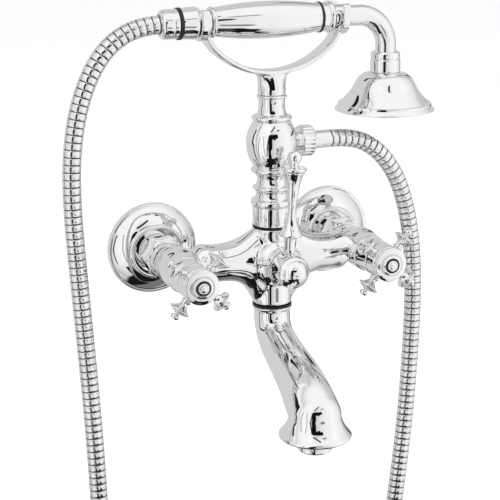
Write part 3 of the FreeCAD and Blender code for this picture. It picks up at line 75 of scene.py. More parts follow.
# The height of the inlets' axes, and where the axes of the column, hand shower, bell and mouth start
RISE = 6.0
COLUMN = (0.0, -67.0, RISE)
HANDSET = (0.0, -67.0, RISE + 181.0)
BELL = (93.4, -67.0, RISE + 181.0)
MOUTH = (0.0, -149.0, RISE)
INLETS = {"left": -75.0, "right": 75.0}

# The bodies that the pieces move with
HANDLES = {"left": "hot_handle", "right": "cold_handle"}
FIXED = "fixed_body"
SHOWER = "hand_shower"
LEVER = "lever"
SPOUT = "swivel_spout"

# The ways along which outlines are turned. The lever leans 3 degrees, as in the photograph.
WAYS = {"up": (0, 0, 1), "down": (0, 0, -1), "out": (0, -1, 0), "right": (1, 0, 0), "left": (-1, 0, 0),
        "back": (0, 1, 0)}
LEAN = (np.sin(np.radians(3.0)), 0.0, np.cos(np.radians(3.0)))


def set_camera():
    """The photograph's view: 1.05 m from the column, from the left and above, with a long lens."""
    data = bpy.data.cameras.new("photo_camera")
    camera = bpy.data.objects.new("photo_camera", data)
    bpy.context.collection.objects.link(camera)
    bpy.context.scene.camera = camera
    sensor, focal_share = 36.0, 2.7734
    data.sensor_width = sensor
    data.lens = focal_share * sensor
    data.shift_x = -0.0176
    data.shift_y = -0.0068
    data.clip_start = 0.05
    data.clip_end = 60.0
    eye = (-0.3897, -1.0070, 0.2975)
    yaw, pitch, roll = -21.955, 15.505, -0.241
    turn = (Matrix.Rotation(np.radians(yaw), 3, "Z") @ Matrix.Rotation(np.radians(90.0 - pitch), 3, "X")
            @ Matrix.Rotation(np.radians(roll), 3, "Z"))
    camera.matrix_world = Matrix.Translation(eye) @ turn.to_4x4()


set_camera()


def make_piece(name, points, faces, finish, body, stands_for=(), sharp=38.0):
    """A mesh from points in mm and faces. The faces are turned outward, by the sign of the volume they
    hold, and are smooth but for edges over `sharp` degrees."""
    points = np.asarray(points, float) * MM
    fans = np.array([(f[0], a, b) for f in faces for a, b in zip(f[1:], f[2:])])
    corners = points[fans]
    volume = np.einsum("ij,ij->i", corners[:, 0], np.cross(corners[:, 1], corners[:, 2])).sum()
    if volume < 0:
        faces = [tuple(reversed(f)) for f in faces]
    mesh = bpy.data.meshes.new(name)
    mesh.from_pydata(points.tolist(), [], faces)
    mesh.shade_smooth()
    mesh.set_sharp_from_angle(angle=np.radians(sharp))
    mesh.materials.append(finish)
    piece = bpy.data.objects.new(name, mesh)
    bpy.context.collection.objects.link(piece)
    if body:
        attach(piece, body)
    if stands_for:
        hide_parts(*stands_for)
    return piece


def grid_faces(rows, columns, wrap_rows=False, pole_first=False, pole_last=False):
    """Quads of a grid whose columns close into rings. A pole is a row of one point, with triangles."""
    first = 1 if pole_first else 0
    rings = rows - first - (1 if pole_last else 0)
    ring = np.arange(columns)
    after = (ring + 1) % columns
    row = np.arange(rings if wrap_rows else rings - 1)
    above = (row + 1) % rings
    low = first + row[:, None] * columns
    high = first + above[:, None] * columns
    faces = np.stack([low + ring, low + after, high + after, high + ring], -1).reshape(-1, 4).tolist()
    if pole_first:
        faces += np.stack([np.zeros_like(ring), first + after, first + ring], -1).tolist()
    if pole_last:
        top = first + (rings - 1) * columns
        tip = np.full(columns, first + rings * columns)
        faces += np.stack([top + ring, top + after, tip], -1).tolist()
    return faces


def drawn(outline, closed):
    """Points every `pace` mm or so along an outline of (radius, height) or (radius, height, sweep). A
    sweep makes the edge to the next corner an arc of that many degrees, its centre on the chord's
    middle line, bulging to the right."""
    pace = 0.1
    runs = []
    count = len(outline) if closed else len(outline) - 1
    for index in range(count):
        corner = outline[index]
        a = np.array(corner[:2], float)
        b = np.array(outline[(index + 1) % len(outline)][:2], float)
        chord = b - a
        length = np.hypot(*chord)
        if length < 1e-9:
            continue
        share = np.linspace(0, 1, max(2, int(length / pace) + 1))[:-1]
        if len(corner) < 3 or corner[2] == 0:
            runs.append(a + share[:, None] * chord)
            continue
        half = np.radians(corner[2]) / 2
        right = np.array([chord[1], -chord[0]]) / length
        radius = length / 2 / np.sin(half)
        centre = (a + b) / 2 - right * radius * np.cos(half)
        turn = (2 * share - 1) * half
        spoke = right * radius
        across = chord / length * radius
        runs.append(centre + np.cos(turn)[:, None] * spoke + np.sin(turn)[:, None] * across)
    if not closed:
        runs.append(np.array([outline[-1][:2]], float))
    return np.concatenate(runs)


def softened(path, closed, radius):
    """The outline with its corners worn round: each point becomes the bell-weighted mean of its
    neighbours, the bell `radius` mm wide. An outline that ends on the axis goes on mirrored past it."""
    pace = 0.08
    gone = np.r_[0, np.cumsum(np.hypot(*np.diff(path, axis=0).T))]
    if closed:
        gone = np.r_[gone, gone[-1] + np.hypot(*(path[0] - path[-1]))]
        path = np.r_[path, path[:1]]
    even = np.linspace(0, gone[-1], max(16, int(gone[-1] / pace)), endpoint=not closed)
    path = np.stack([np.interp(even, gone, path[:, k]) for k in (0, 1)], -1)
    reach = max(1, int(3 * radius / pace))
    bell = np.exp(-0.5 * (np.arange(-reach, reach + 1) * pace / radius) ** 2)
    bell /= bell.sum()
    if closed:
        padded = np.r_[path[-reach:], path, path[:reach]]
    else:
        mirror = np.array([-1.0, 1.0])
        padded = np.r_[(path[1:reach + 1] * mirror)[::-1], path, (path[-reach - 1:-1] * mirror)[::-1]]
    return np.stack([np.convolve(padded[:, k], bell, "valid") for k in (0, 1)], -1)


def thinned(path, closed):
    """As few points as keep each bend under `bend` degrees and each run under `run` mm, spaced evenly
    by the sum of both."""
    bend, run = 9.0, 6.0
    loop = np.r_[path, path[:1]] if closed else path
    step = np.diff(loop, axis=0)
    heading = np.unwrap(np.arctan2(step[:, 1], step[:, 0]))
    turn = np.abs(np.diff(heading, prepend=heading[0]))
    weight = np.r_[0, np.cumsum(np.degrees(turn) / bend + np.hypot(*step.T) / run)]
    count = max(6, int(np.ceil(weight[-1])))
    wanted = np.linspace(0, weight[-1], count, endpoint=not closed)
    return np.stack([np.interp(wanted, weight, loop[:, k]) for k in (0, 1)], -1)


def turned_grid(outline, place, way, around, soft, shape=None):
    """Points and faces of a turned shape: each outline point (r, h) becomes place + h * way + r * a
    spoke. `shape` may change r with the angle and the height."""
    closed = all(corner[0] > 0 for corner in outline)
    path = thinned(softened(drawn(outline, closed), closed, soft), closed)
    if not closed:
        path[0, 0] = path[-1, 0] = 0.0
    along = np.array(WAYS[way] if isinstance(way, str) else way, float)
    along /= np.linalg.norm(along)
    side = np.array([0, 0, 1.0]) if abs(along[2]) < 0.9 else np.array([1.0, 0, 0])
    side = side - along * (side @ along)
    side /= np.linalg.norm(side)
    other = np.cross(along, side)
    angle = np.arange(around) * 2 * np.pi / around
    spokes = np.cos(angle)[:, None] * side + np.sin(angle)[:, None] * other
    radius = np.repeat(path[:, :1], around, 1)
    if shape:
        radius = shape(angle[None, :], radius, path[:, 1:])
    points = radius[..., None] * spokes + path[:, None, 1, None] * along + np.array(place, float)
    if closed:
        return points.reshape(-1, 3), grid_faces(len(path), around, wrap_rows=True)
    points = np.r_[points[0, :1], points[1:-1].reshape(-1, 3), points[-1, :1]]
    return points, grid_faces(len(path), around, pole_first=True, pole_last=True)


def turned(node, outline, place, way, body, around, soft=0.22, shape=None):
    """A turned chrome piece that stands for one CAD node."""
    points, faces = turned_grid(outline, place, way, around, soft, shape)
    make_piece(node + "_form", points, faces, CHROME, body, [node])


def joined(parts):
    """Several (points, faces) as one."""
    points, faces, start = [], [], 0
    for some, own in parts:
        points.append(some)
        faces += [tuple(i + start for i in face) for face in own]
        start += len(some)
    return np.concatenate(points), faces


def node_maker(tree):
    """A function that adds a node to the tree and sets its inputs, or its own values, by name."""
    def add(kind, **values):
        node = tree.nodes.new(kind)
        for key, value in values.items():
            if key in node.inputs:
                node.inputs[key].default_value = value
            else:
                setattr(node, key, value)
        return node
    return add


def finish_nodes(name, metallic=0.0):
    """A new material with its link function, its shader and the function that adds its nodes."""
    material = bpy.data.materials.new(name)
    material.use_nodes = True
    tree = material.node_tree
    shader = tree.nodes["Principled BSDF"]
    shader.inputs["Metallic"].default_value = metallic
    return material, tree.links.new, shader, node_maker(tree)


def cloudy_noise(add, link, scale, detail, roughness):
    """Cloudy noise on the piece's own coordinates."""
    place = add("ShaderNodeTexCoord")
    clouds = add("ShaderNodeTexNoise", Scale=scale, Detail=detail, Roughness=roughness)
    link(place.outputs["Object"], clouds.inputs["Vector"])
    return clouds.outputs["Fac"]


def tinted(add, link, source, start, first_tint, end, last_tint):
    """A colour that runs from the first tint to the last while the source runs from start to end."""
    tone = add("ShaderNodeValToRGB")
    first, last = tone.color_ramp.elements
    first.position = start
    first.color = (*first_tint, 1)
    last.position = end
    last.color = (*last_tint, 1)
    link(source, tone.inputs["Fac"])
    return tone.outputs["Color"]


def ranged(add, link, source, low, high, start=0.0, end=1.0):
    """A value that runs from low to high while the source runs from start to end."""
    ends = {"From Min": start, "From Max": end, "To Min": low, "To Max": high}
    span = add("ShaderNodeMapRange", **ends)
    link(source, span.inputs["Value"])
    return span.outputs["Result"]


def raise_relief(add, link, source, shader, strength, depth):
    """Fine relief: the source is taken as a height of up to `depth` metres."""
    relief = add("ShaderNodeBump", Strength=strength, Distance=depth)
    link(source, relief.inputs["Height"])
    link(relief.outputs["Normal"], shader.inputs["Normal"])


def polished_metal(name, tint, shadow_tint, roughest, smoothest, grain=420.0, bump=0.015, groove_shading=False):
    """Plated metal: cloudy handling marks change tint and roughness, and a fine grain gives a faint
    ripple. With the groove option on, a mesh attribute darkens the colour in the grooves: painted shade."""
    material, link, shader, add = finish_nodes(name, metallic=1.0)
    marks = cloudy_noise(add, link, 38.0, 5.0, 0.62)
    colour = tinted(add, link, marks, 0.34, shadow_tint, 0.66, tint)
    # Painted shade: the colour is multiplied by a per-point mesh attribute that is dark in the grooves
    if groove_shading:
        groove_shade = add("ShaderNodeAttribute", attribute_name="groove_shade")
        groove_shade_mix = add("ShaderNodeMix", data_type="RGBA", blend_type="MULTIPLY")
        groove_shade_mix.inputs["Factor"].default_value = 1.0
        link(colour, groove_shade_mix.inputs["A"])
        link(groove_shade.outputs["Color"], groove_shade_mix.inputs["B"])
        colour = groove_shade_mix.outputs["Result"]
    link(colour, shader.inputs["Base Color"])
    link(ranged(add, link, marks, smoothest, roughest, 0.35, 0.70), shader.inputs["Roughness"])
    raise_relief(add, link, cloudy_noise(add, link, grain, 3.0, 0.5), shader, bump, 0.0004)
    return material


def moulded(name, tint, worn_tint, roughness):
    """Moulded rubber or plastic: a dusty mottle over the colour, and a fine moulded grain."""
    material, link, shader, add = finish_nodes(name)
    shader.inputs["Specular IOR Level"].default_value = 0.3
    mottle = cloudy_noise(add, link, 160.0, 6.0, 0.6)
    link(tinted(add, link, mottle, 0.40, tint, 0.75, worn_tint), shader.inputs["Base Color"])
    link(ranged(add, link, mottle, roughness - 0.08, roughness + 0.08), shader.inputs["Roughness"])
    raise_relief(add, link, cloudy_noise(add, link, 900.0, 2.0, 0.5), shader, 0.12, 0.0003)
    return material


def machined_brass(name, tint, groove_tint):
    """Turned brass: close rings left by the tool, and a slight tarnish."""
    material, link, shader, add = finish_nodes(name, metallic=1.0)
    tarnish = cloudy_noise(add, link, 90.0, 6.0, 0.65)
    link(tinted(add, link, tarnish, 0.35, groove_tint, 0.65, tint), shader.inputs["Base Color"])
    link(ranged(add, link, tarnish, 0.22, 0.42), shader.inputs["Roughness"])
    place = add("ShaderNodeTexCoord")
    rings = add("ShaderNodeTexWave", Scale=420.0, Distortion=0.6, Detail=1.0, bands_direction="Y")
    link(place.outputs["Object"], rings.inputs["Vector"])
    raise_relief(add, link, rings.outputs["Fac"], shader, 0.2, 0.0002)
    return material


CHROME = polished_metal("polished_chrome", (0.89, 0.895, 0.90), (0.85, 0.856, 0.862), 0.055, 0.02)
# The hose's finish takes painted shade in its grooves from a mesh attribute
HOSE_CHROME = polished_metal("hose_chrome", (0.86, 0.865, 0.87), (0.78, 0.785, 0.79), 0.14, 0.05,
                             grain=900.0, bump=0.03, groove_shading=True)
STEEL = polished_metal("screw_steel", (0.62, 0.625, 0.63), (0.54, 0.545, 0.55), 0.34, 0.24, bump=0.06)
BRASS = machined_brass("turned_brass", (0.80, 0.60, 0.30), (0.66, 0.47, 0.22))
RUBBER = moulded("black_rubber", (0.006, 0.006, 0.007), (0.018, 0.018, 0.019), 0.42)
FIBRE = moulded("white_plastic", (0.80, 0.80, 0.79), (0.70, 0.70, 0.69), 0.42)
FINISHES = {"chrome": CHROME, "hose_metal": HOSE_CHROME, "steel": STEEL, "bare_brass": BRASS,
            "black_rubber": RUBBER, "white_plastic": FIBRE}

for entry in frame["record"]["subparts"]:
    node = frame["nodes"][entry["node"]]
    node.data.materials.clear()
    node.data.materials.append(FINISHES[entry["material_slot"]])


def hexagon(flat):
    """Limits a turned shape to a hexagon: the radius stays under `flat` over the cosine of the angle to
    the nearest flat's middle, less a little toward the corners, which are rounded."""
    corner, half = 0.6, np.pi / 6

    def limit(angle, radius, height):
        nearest = np.abs((angle + half) % (2 * half) - half)
        return np.minimum(radius, flat / np.cos(nearest) - corner * (nearest / half) ** 6)
    return limit


def fluted(count, depth, low, high, outer):
    """Scoops `count` grooves along a turned shape between two heights, where it is near its outer
    radius: the radius loses `depth` times a power of the cosine of half the angle times the count."""
    run_out, rim, roundness = 1.2, 1.5, 1.6

    def scoop(angle, radius, height):
        along = np.clip((height - low) / run_out, 0, 1) * np.clip((high - height) / run_out, 0, 1)
        near = np.clip(radius - outer + rim, 0, 1)
        wave = np.abs(np.cos(angle * count / 2)) ** roundness
        return radius - depth * wave * along * near
    return scoop


def skin_of(node, voxel, passes, body):
    """A casting's skin: a copy of the CAD solid, merged, rebuilt from small even quads and rubbed
    smooth, so that its edges are worn round and its branches flow together as in a polished casting."""
    touching = 0.002 * MM
    mesh = frame["nodes"][node].data.copy()
    piece = bpy.data.objects.new(node + "_skin", mesh)
    bpy.context.collection.objects.link(piece)
    loose = bmesh.new()
    loose.from_mesh(mesh)
    bmesh.ops.remove_doubles(loose, verts=loose.verts, dist=touching)
    loose.to_mesh(mesh)
    loose.free()
    even = piece.modifiers.new("even", "REMESH")
    even.mode = "VOXEL"
    even.voxel_size = voxel * MM
    rub = piece.modifiers.new("rub", "SMOOTH")
    rub.factor = 0.5
    rub.iterations = passes
    bpy.context.view_layer.update()
    baked = bpy.data.meshes.new_from_object(piece.evaluated_get(bpy.context.evaluated_depsgraph_get()))
    piece.modifiers.clear()
    piece.data = baked
    baked.name = node + "_skin"
    baked.materials.clear()
    baked.materials.append(CHROME)
    baked.shade_smooth()
    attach(piece, body)
    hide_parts(node)
    return piece


def dress_yoke(piece):
    """Draws the yoke's foot in to a nearly straight neck that flares only just under the bow (each
    height's width is scaled by the wanted over the modelled one), and lowers the tips of the prongs."""
    low, high = RISE + 130.0, RISE + 143.5
    prong_share = 0.70
    points = np.empty(len(piece.data.vertices) * 3)
    piece.data.vertices.foreach_get("co", points)
    points = points.reshape(-1, 3)
    part = np.clip((points[:, 2] / MM - low) / (high - low), 0, 1)
    modelled = 10.3 + 9.7 * part
    wanted = 10.4 + 0.9 * part + 8.7 * part ** 8
    points[:, 0] *= np.where(part > 0, wanted / modelled, 1.0)
    above = np.maximum(points[:, 2] - HANDSET[2] * MM, 0)
    points[:, 2] -= above * (1 - prong_share)
    piece.data.vertices.foreach_set("co", points.ravel())
    piece.data.update()


def make_wall_side(side, x):
    """Domed rose, hexagon nut and plain shroud of one inlet, turned about the inlet's axis."""
    out = (x, 0.0, RISE)
    turned(f"wall_rose_{side}", [
        (34.4, 0), (35.7, 0), (36.0, 0.5), (36.0, 3.0, 88), (34.6, 4.4), (33.4, 4.3, 28), (21.4, 14.2),
        (20.9, 15.2, 70), (19.6, 16.0), (18.7, 15.9), (17.3, 12.1), (13.6, 12.0), (13.6, 10.0),
        (17.0, 10.0), (32.4, 3.0)], out, "out", FIXED, around=160)
    turned(f"union_nut_{side}", [
        (13.3, 23.0), (14.2, 23.0), (16.9, 24.4), (17.3, 25.0), (17.3, 39.6), (16.9, 40.4),
        (14.4, 42.0), (11.0, 42.0), (11.0, 39.0), (13.3, 39.0)], out, "out", FIXED, around=180,
        soft=0.15, shape=hexagon(14.9))
    turned(f"shroud_{side}", [
        (11.3, 86.0), (13.6, 86.0), (13.7, 86.6, -6), (13.4, 101.6), (13.0, 102.4), (4.4, 102.4),
        (4.4, 100.9), (11.3, 100.9)], out, "out", FIXED, around=120)


def cross_arm(x, angle):
    """One arm of a handle, turned about a line at `angle` from level: bead, trumpet flare, hollowed
    back and pointed ball tip."""
    middle = (x, -110.7, RISE)
    way = (np.cos(np.radians(angle)), 0.0, np.sin(np.radians(angle)))
    outline = [
        (0, 6.0), (3.4, 6.0), (3.4, 12.8), (2.8, 13.2), (3.3, 13.6, 130), (3.3, 15.6), (2.9, 16.0),
        (2.9, 17.0, -50), (6.9, 21.5), (7.6, 21.9, 150), (7.6, 23.3), (6.9, 23.7, 16), (2.4, 25.3),
        (1.5, 25.6), (1.4, 26.1), (1.6, 26.4, 205), (0.4, 29.9), (0, 30.0)]
    return turned_grid(outline, middle, way, 48, 0.16)


def make_handle(side, x, body):
    """Cross handle: a grooved drum with four arms a quarter turn apart, and its domed index button in a
    dark ring with scooped edges."""
    out = (x, 0.0, RISE)
    first_arm = 49.5
    hub = turned_grid([
        (0, 104.0), (4.2, 104.0), (4.2, 103.5), (12.4, 103.5), (13.2, 104.2, 40), (13.4, 105.6),
        (13.4, 114.6), (13.1, 115.2), (12.5, 115.6), (12.5, 116.2), (13.2, 116.6), (13.2, 118.2, 68),
        (12.4, 119.4, 6), (9.0, 120.2), (8.7, 120.0), (8.5, 119.2), (8.2, 119.2), (8.0, 120.6),
        (7.7, 121.2, 8), (5.8, 121.7), (5.6, 121.0), (0, 121.0)], out, "out", 144, 0.11)
    arms = [cross_arm(x, first_arm + quarter) for quarter in (0, 90, 180, 270)]
    points, faces = joined([hub] + arms)
    make_piece(f"cross_handle_{side}_form", points, faces, CHROME, body, [f"cross_handle_{side}"])
    turned(f"index_button_{side}", [
        (0, 118.3), (4.3, 118.3), (4.3, 122.0), (4.1, 122.4, 14), (3.2, 122.6), (3.0, 122.2),
        (2.8, 122.6, 26), (0, 123.2)], out, "out", body, around=96, soft=0.08)
    points, faces = turned_grid([
        (4.4, 120.8), (5.4, 120.8), (5.5, 121.9), (5.2, 122.3), (4.7, 122.3), (4.4, 121.9)], out, "out",
        240, 0.05, shape=fluted(24, 0.5, 118.0, 126.0, 5.5))
    make_piece(f"milled_ring_{side}", points, faces, RUBBER, body)


def make_diverter():
    """Bell shroud, hub with its rounded end, and the turned lever, which leans a little."""
    front = (0.0, 0.0, RISE)
    turned("diverter_shroud", [
        (14.3, 82.5), (17.2, 82.5), (17.5, 82.9), (17.5, 83.9), (17.2, 84.4, -40), (12.7, 91.0),
        (12.3, 91.6), (12.3, 92.9), (4.4, 92.9), (4.4, 91.4), (10.6, 91.4, 34)], front, "out", FIXED,
        around=128)
    turned("diverter_hub", [
        (0, 98.0), (4.0, 98.0), (4.0, 94.0), (11.9, 94.0), (12.6, 94.6), (12.7, 95.6),
        (12.7, 108.0, 50), (10.6, 112.3), (10.1, 112.6), (9.9, 113.0, 62), (0.3, 119.0), (0, 119.0)],
        front, "out", LEVER, around=128, soft=0.18)
    turned("diverter_lever", [
        (0, 5.0), (3.0, 5.0), (3.0, 12.8), (3.7, 12.8), (3.8, 13.6), (4.9, 24.2), (5.6, 24.9),
        (8.4, 25.8), (8.8, 26.4), (8.7, 27.3, -50), (4.2, 55.0, -26), (7.7, 72.4), (8.2, 73.2),
        (8.0, 73.8), (8.6, 74.4), (9.4, 75.0), (9.5, 76.4), (9.0, 77.2), (5.2, 78.0, -40), (3.1, 79.0),
        (3.0, 79.9), (3.3, 80.3, 137), (0.3, 89.9), (0, 89.9)], (0.0, -99.8, RISE), LEAN, LEVER,
        around=96, soft=0.2)


def make_column():
    """Sleeve, turned rings and ball of the column, the necked stem above it and the side outlet."""
    turned("column_sleeve", [
        (9.1, 27.3), (14.4, 27.3), (14.7, 27.6), (14.7, 41.5), (14.4, 41.9), (9.1, 41.9)], COLUMN, "up",
        FIXED, around=128, soft=0.14)
    turned("riser_column", [
        (5.0, 15.0), (9.0, 15.0), (9.0, 42.0), (14.4, 42.0), (14.9, 42.4, 40), (16.0, 44.0),
        (16.0, 45.8, 60), (14.6, 47.3), (13.6, 47.4), (13.0, 48.0, -34), (12.2, 52.0, -16),
        (12.8, 54.0), (13.4, 54.4), (13.7, 54.8, 150), (13.7, 57.2), (12.9, 57.6), (12.2, 58.3, -26),
        (11.1, 62.8, -22), (12.8, 66.8), (13.9, 67.2), (14.6, 67.8, 150), (14.6, 71.2), (13.8, 71.7),
        (13.8, 72.5, 73), (13.4, 107.1), (6.0, 107.2), (6.0, 98.2), (5.0, 98.2)], COLUMN, "up", FIXED,
        around=144, soft=0.16)
    turned("cradle_stem", [
        (0, 98.2), (6.0, 98.2), (6.0, 107.2), (13.4, 107.2), (14.0, 107.4, 150), (13.9, 110.6),
        (12.4, 110.9), (11.0, 111.8, -34), (10.3, 123.6), (10.9, 123.9), (11.2, 124.3, 90),
        (11.2, 125.6), (10.8, 126.0), (5.0, 126.0), (5.0, 130.0), (0, 130.0)], COLUMN, "up", FIXED,
        around=128, soft=0.16)
    outlet = (0.0, COLUMN[1], RISE + 89.4)
    turned("hose_outlet", [
        (4.5, 9.6), (6.0, 9.6), (6.0, 18.6), (7.2, 19.3), (7.5, 19.8), (7.5, 21.9), (9.9, 22.0),
        (10.2, 22.4), (10.2, 28.0), (4.5, 28.0)], outlet, "right", FIXED, around=96, soft=0.14)
    turned("hose_nut_lower", [
        (10.3, 22.3), (11.3, 22.3), (11.75, 22.8), (11.75, 30.8), (11.3, 31.6), (10.2, 32.5),
        (6.9, 32.5), (6.9, 31.0), (10.3, 31.0)], outlet, "right", FIXED, around=256, soft=0.12,
        shape=fluted(22, 0.75, 22.4, 31.6, 11.75))
    turned("hose_ferrule_lower", [
        (3.5, 29.5), (10.2, 29.5), (10.2, 31.0), (6.75, 31.0), (6.75, 46.6), (6.4, 47.4), (3.5, 47.4)],
        outlet, "right", FIXED, around=96, soft=0.16)


def make_hand_shower():
    """Tail, swelling grip with its end beads, collar, ferrule and bell of the hand shower, and the nut
    that joins the hose to its tail."""
    turned("handset_tail", [
        (4.5, -78.8), (8.6, -78.8), (8.6, -70.8), (10.7, -70.8), (11.0, -70.3), (11.7, -60.2),
        (11.5, -59.3), (10.9, -58.7), (9.2, -58.2), (8.8, -57.6), (8.8, -48.8), (6.9, -48.6),
        (6.9, 38.1), (4.5, 38.1)], HANDSET, "right", SHOWER, around=112, soft=0.16)
    turned("handset_grip", [
        (7.0, -48.6), (10.0, -48.6), (10.7, -48.2, 120), (10.7, -45.8), (10.1, -45.4),
        (10.3, -44.9, 18), (10.4, 35.9), (10.9, 36.1), (10.8, 36.6), (7.0, 36.6)], HANDSET, "right",
        SHOWER, around=128, soft=0.14)
    turned("handset_collar", [
        (4.5, 38.1), (10.8, 38.1), (11.0, 38.5), (10.5, 42.3), (10.4, 42.9), (10.9, 43.1, 110),
        (10.9, 47.1), (10.2, 47.9), (8.9, 48.5), (8.8, 49.2), (8.8, 59.8), (4.5, 60.0)], HANDSET,
        "right", SHOWER, around=112, soft=0.14)
    turned("elbow_ferrule", [
        (7.8, 28.0), (9.3, 28.0, 80), (11.1, 29.9), (11.1, 32.7), (10.6, 33.2), (10.6, 33.8),
        (11.2, 34.1), (11.4, 34.6), (11.4, 43.0), (11.1, 43.6), (5.5, 43.6), (5.5, 30.0), (7.8, 30.0)],
        BELL, "down", SHOWER, around=112, soft=0.16)
    turned("shower_bell", [
        (5.5, 43.6), (12.2, 43.7), (16.6, 44.9), (19.0, 46.6), (21.0, 48.9), (22.6, 51.4), (23.9, 54.1),
        (25.6, 57.1), (27.7, 60.0), (30.1, 62.7), (32.8, 65.4), (35.2, 67.9), (37.0, 70.2),
        (38.1, 71.6), (38.3, 72.2), (37.6, 72.5), (36.2, 72.3), (35.8, 71.9), (35.8, 67.0),
        (32.0, 66.6), (20.2, 52.0), (5.5, 46.5)], BELL, "down", SHOWER, around=180, soft=0.45)
    turned("hose_nut_upper", [
        (8.7, 73.0), (10.4, 73.0), (10.7, 73.4), (10.7, 76.6), (10.4, 77.0), (10.7, 77.4),
        (10.7, 82.4, 84), (7.8, 85.9), (7.1, 86.0), (7.1, 81.0), (3.5, 81.0), (3.5, 78.8), (8.7, 78.8)],
        HANDSET, "left", SHOWER, around=112, soft=0.16)


def make_elbow():
    """Bent neck of the hand shower: rings square to a line that runs level, turns through a quarter
    circle and drops to the ferrule."""
    tube, bend, around = 7.7, 23.0, 72
    start, corner, end = 59.0, BELL[0] - bend, 30.5
    level_run = np.linspace(start, corner - 0.1, 8)
    turn = np.radians(np.linspace(0, 90, 40))
    fall = np.linspace(bend + 0.5, end, 5)
    reach = np.r_[level_run, corner + bend * np.sin(turn), np.full_like(fall, BELL[0])]
    drop = np.r_[np.zeros_like(level_run), bend * (1 - np.cos(turn)), fall]
    slope = np.r_[np.zeros_like(level_run), turn, np.full_like(fall, np.pi / 2)]
    centre = np.stack([reach, np.full_like(reach, HANDSET[1]), HANDSET[2] - drop], -1)
    spin = np.arange(around) * 2 * np.pi / around
    level = np.stack([np.sin(slope), np.zeros_like(slope), np.cos(slope)], -1)
    spokes = np.cos(spin)[:, None] * np.array([0, 1.0, 0]) + np.sin(spin)[:, None] * level[:, None, :]
    rings = centre[:, None] + tube * spokes
    points = np.r_[centre[:1], rings.reshape(-1, 3), centre[-1:]]
    faces = grid_faces(len(centre) + 2, around, pole_first=True, pole_last=True)
    make_piece("handset_elbow_form", points, faces, CHROME, SHOWER, ["handset_elbow"])


def make_spray_face():
    """Soft nozzles in rings over the spray plate, each a short tapered stub with a dimple."""
    stub = [(0, 68.6), (1.1, 68.6), (1.0, 69.2), (0.7, 70.6), (0.45, 70.8), (0.3, 70.2), (0, 70.1)]
    stagger = 0.13
    stubs = []
    for ring, count in ((4.5, 5), (10.0, 11), (16.0, 17), (21.5, 23), (27.5, 29), (32.3, 34)):
        for angle in 2 * np.pi * (np.arange(count) + ring * stagger) / count:
            place = (BELL[0] + ring * np.cos(angle), BELL[1] + ring * np.sin(angle), BELL[2])
            stubs.append(turned_grid(stub, place, "down", 12, 0.05))
    points, faces = joined(stubs)
    make_piece("spray_nozzles", points, faces, RUBBER, SHOWER)


def make_mouth():
    """Aerator: scooped housing with its rolled lip, and a fine crossed mesh over the insert, its wires
    a pitch apart and each as long as the circle of the mesh lets it be."""
    turned("aerator_housing", [
        (8.0, 109.1), (9.6, 109.1), (9.6, 113.6), (12.5, 113.6), (12.8, 113.9), (12.8, 122.8, 80),
        (11.8, 124.0), (11.0, 124.1), (10.4, 123.6), (10.4, 115.6), (8.0, 115.6)], MOUTH, "down",
        SPOUT, around=240, soft=0.14, shape=fluted(40, 0.22, 115.0, 121.5, 12.8))
    pitch, thick, tip, reach = 1.5, 0.28, 0.3, 10.1
    upper, lower = RISE - 122.9, RISE - 123.3
    wires = []
    for shift in np.arange(-6, 7) * pitch:
        half = np.sqrt(reach ** 2 - shift ** 2)
        outline = [(0, -half), (thick, tip - half), (thick, half - tip), (0, half)]
        wires.append(turned_grid(outline, (shift, MOUTH[1], upper), "back", 8, 0.05))
        wires.append(turned_grid(outline, (0.0, MOUTH[1] + shift, lower), "right", 8, 0.05))
    points, faces = joined(wires)
    make_piece("aerator_mesh", points, faces, STEEL, SPOUT)


for side, inlet in INLETS.items():
    make_wall_side(side, inlet)
    make_handle(side, inlet, HANDLES[side])
make_diverter()
make_column()
make_hand_shower()
make_elbow()
make_spray_face()
make_mouth()
skin_of("mixer_body", 0.9, 18, FIXED)
skin_of("spout", 0.8, 10, SPOUT)
dress_yoke(skin_of("cradle_yoke", 0.45, 10, FIXED))


# The hose's route from the column's outlet to the hand shower, as (across, up) from the inlets' height
HOSE_ROUTE = [
    (47.5, 89.4), (61.0, 89.4), (78.3, 84.3), (94.0, 71.8), (106.8, 52.0), (115.5, 25.5), (121.0, -7.0),
    (122.5, -47.0), (121.2, -96.0), (118.0, -150.0), (112.5, -205.0), (105.5, -260.0), (97.0, -315.0),
    (86.0, -369.0), (69.0, -420.0), (42.0, -464.0), (1.0, -487.0), (-42.0, -480.0), (-78.0, -451.0),
    (-103.0, -408.0), (-120.0, -358.0), (-131.0, -305.0), (-138.0, -250.0), (-142.0, -195.0),
    (-143.5, -140.0), (-146.0, -86.0), (-149.0, -35.0), (-152.0, 12.0), (-154.0, 53.0), (-153.4, 88.0),
    (-148.6, 119.0), (-139.6, 145.0), (-127.0, 164.6), (-111.8, 176.0), (-94.5, 181.0), (-81.0, 181.0),
]
HOSE_RADIUS = 6.75
HOSE_GROOVE = 0.62
RIB_PITCH = 5.35


def hose_line():
    """The hose's smooth line in mm: a NURBS spline with the route's points as its control points."""
    curve = bpy.data.curves.new("hose_line", "CURVE")
    curve.dimensions = "3D"
    spline = curve.splines.new("NURBS")
    spline.points.add(len(HOSE_ROUTE) - 1)
    control = np.array([(x, COLUMN[1], z + RISE, 1.0) for x, z in HOSE_ROUTE])
    control[:, :3] *= MM
    spline.points.foreach_set("co", control.ravel())
    spline.order_u = 3
    spline.use_endpoint_u = True
    spline.resolution_u = 24
    carrier = bpy.data.objects.new("hose_line", curve)
    mesh = bpy.data.meshes.new_from_object(carrier)
    points = np.empty(len(mesh.vertices) * 3)
    mesh.vertices.foreach_get("co", points)
    bpy.data.objects.remove(carrier)
    bpy.data.meshes.remove(mesh)
    bpy.data.curves.remove(curve)
    return points.reshape(-1, 3) / MM


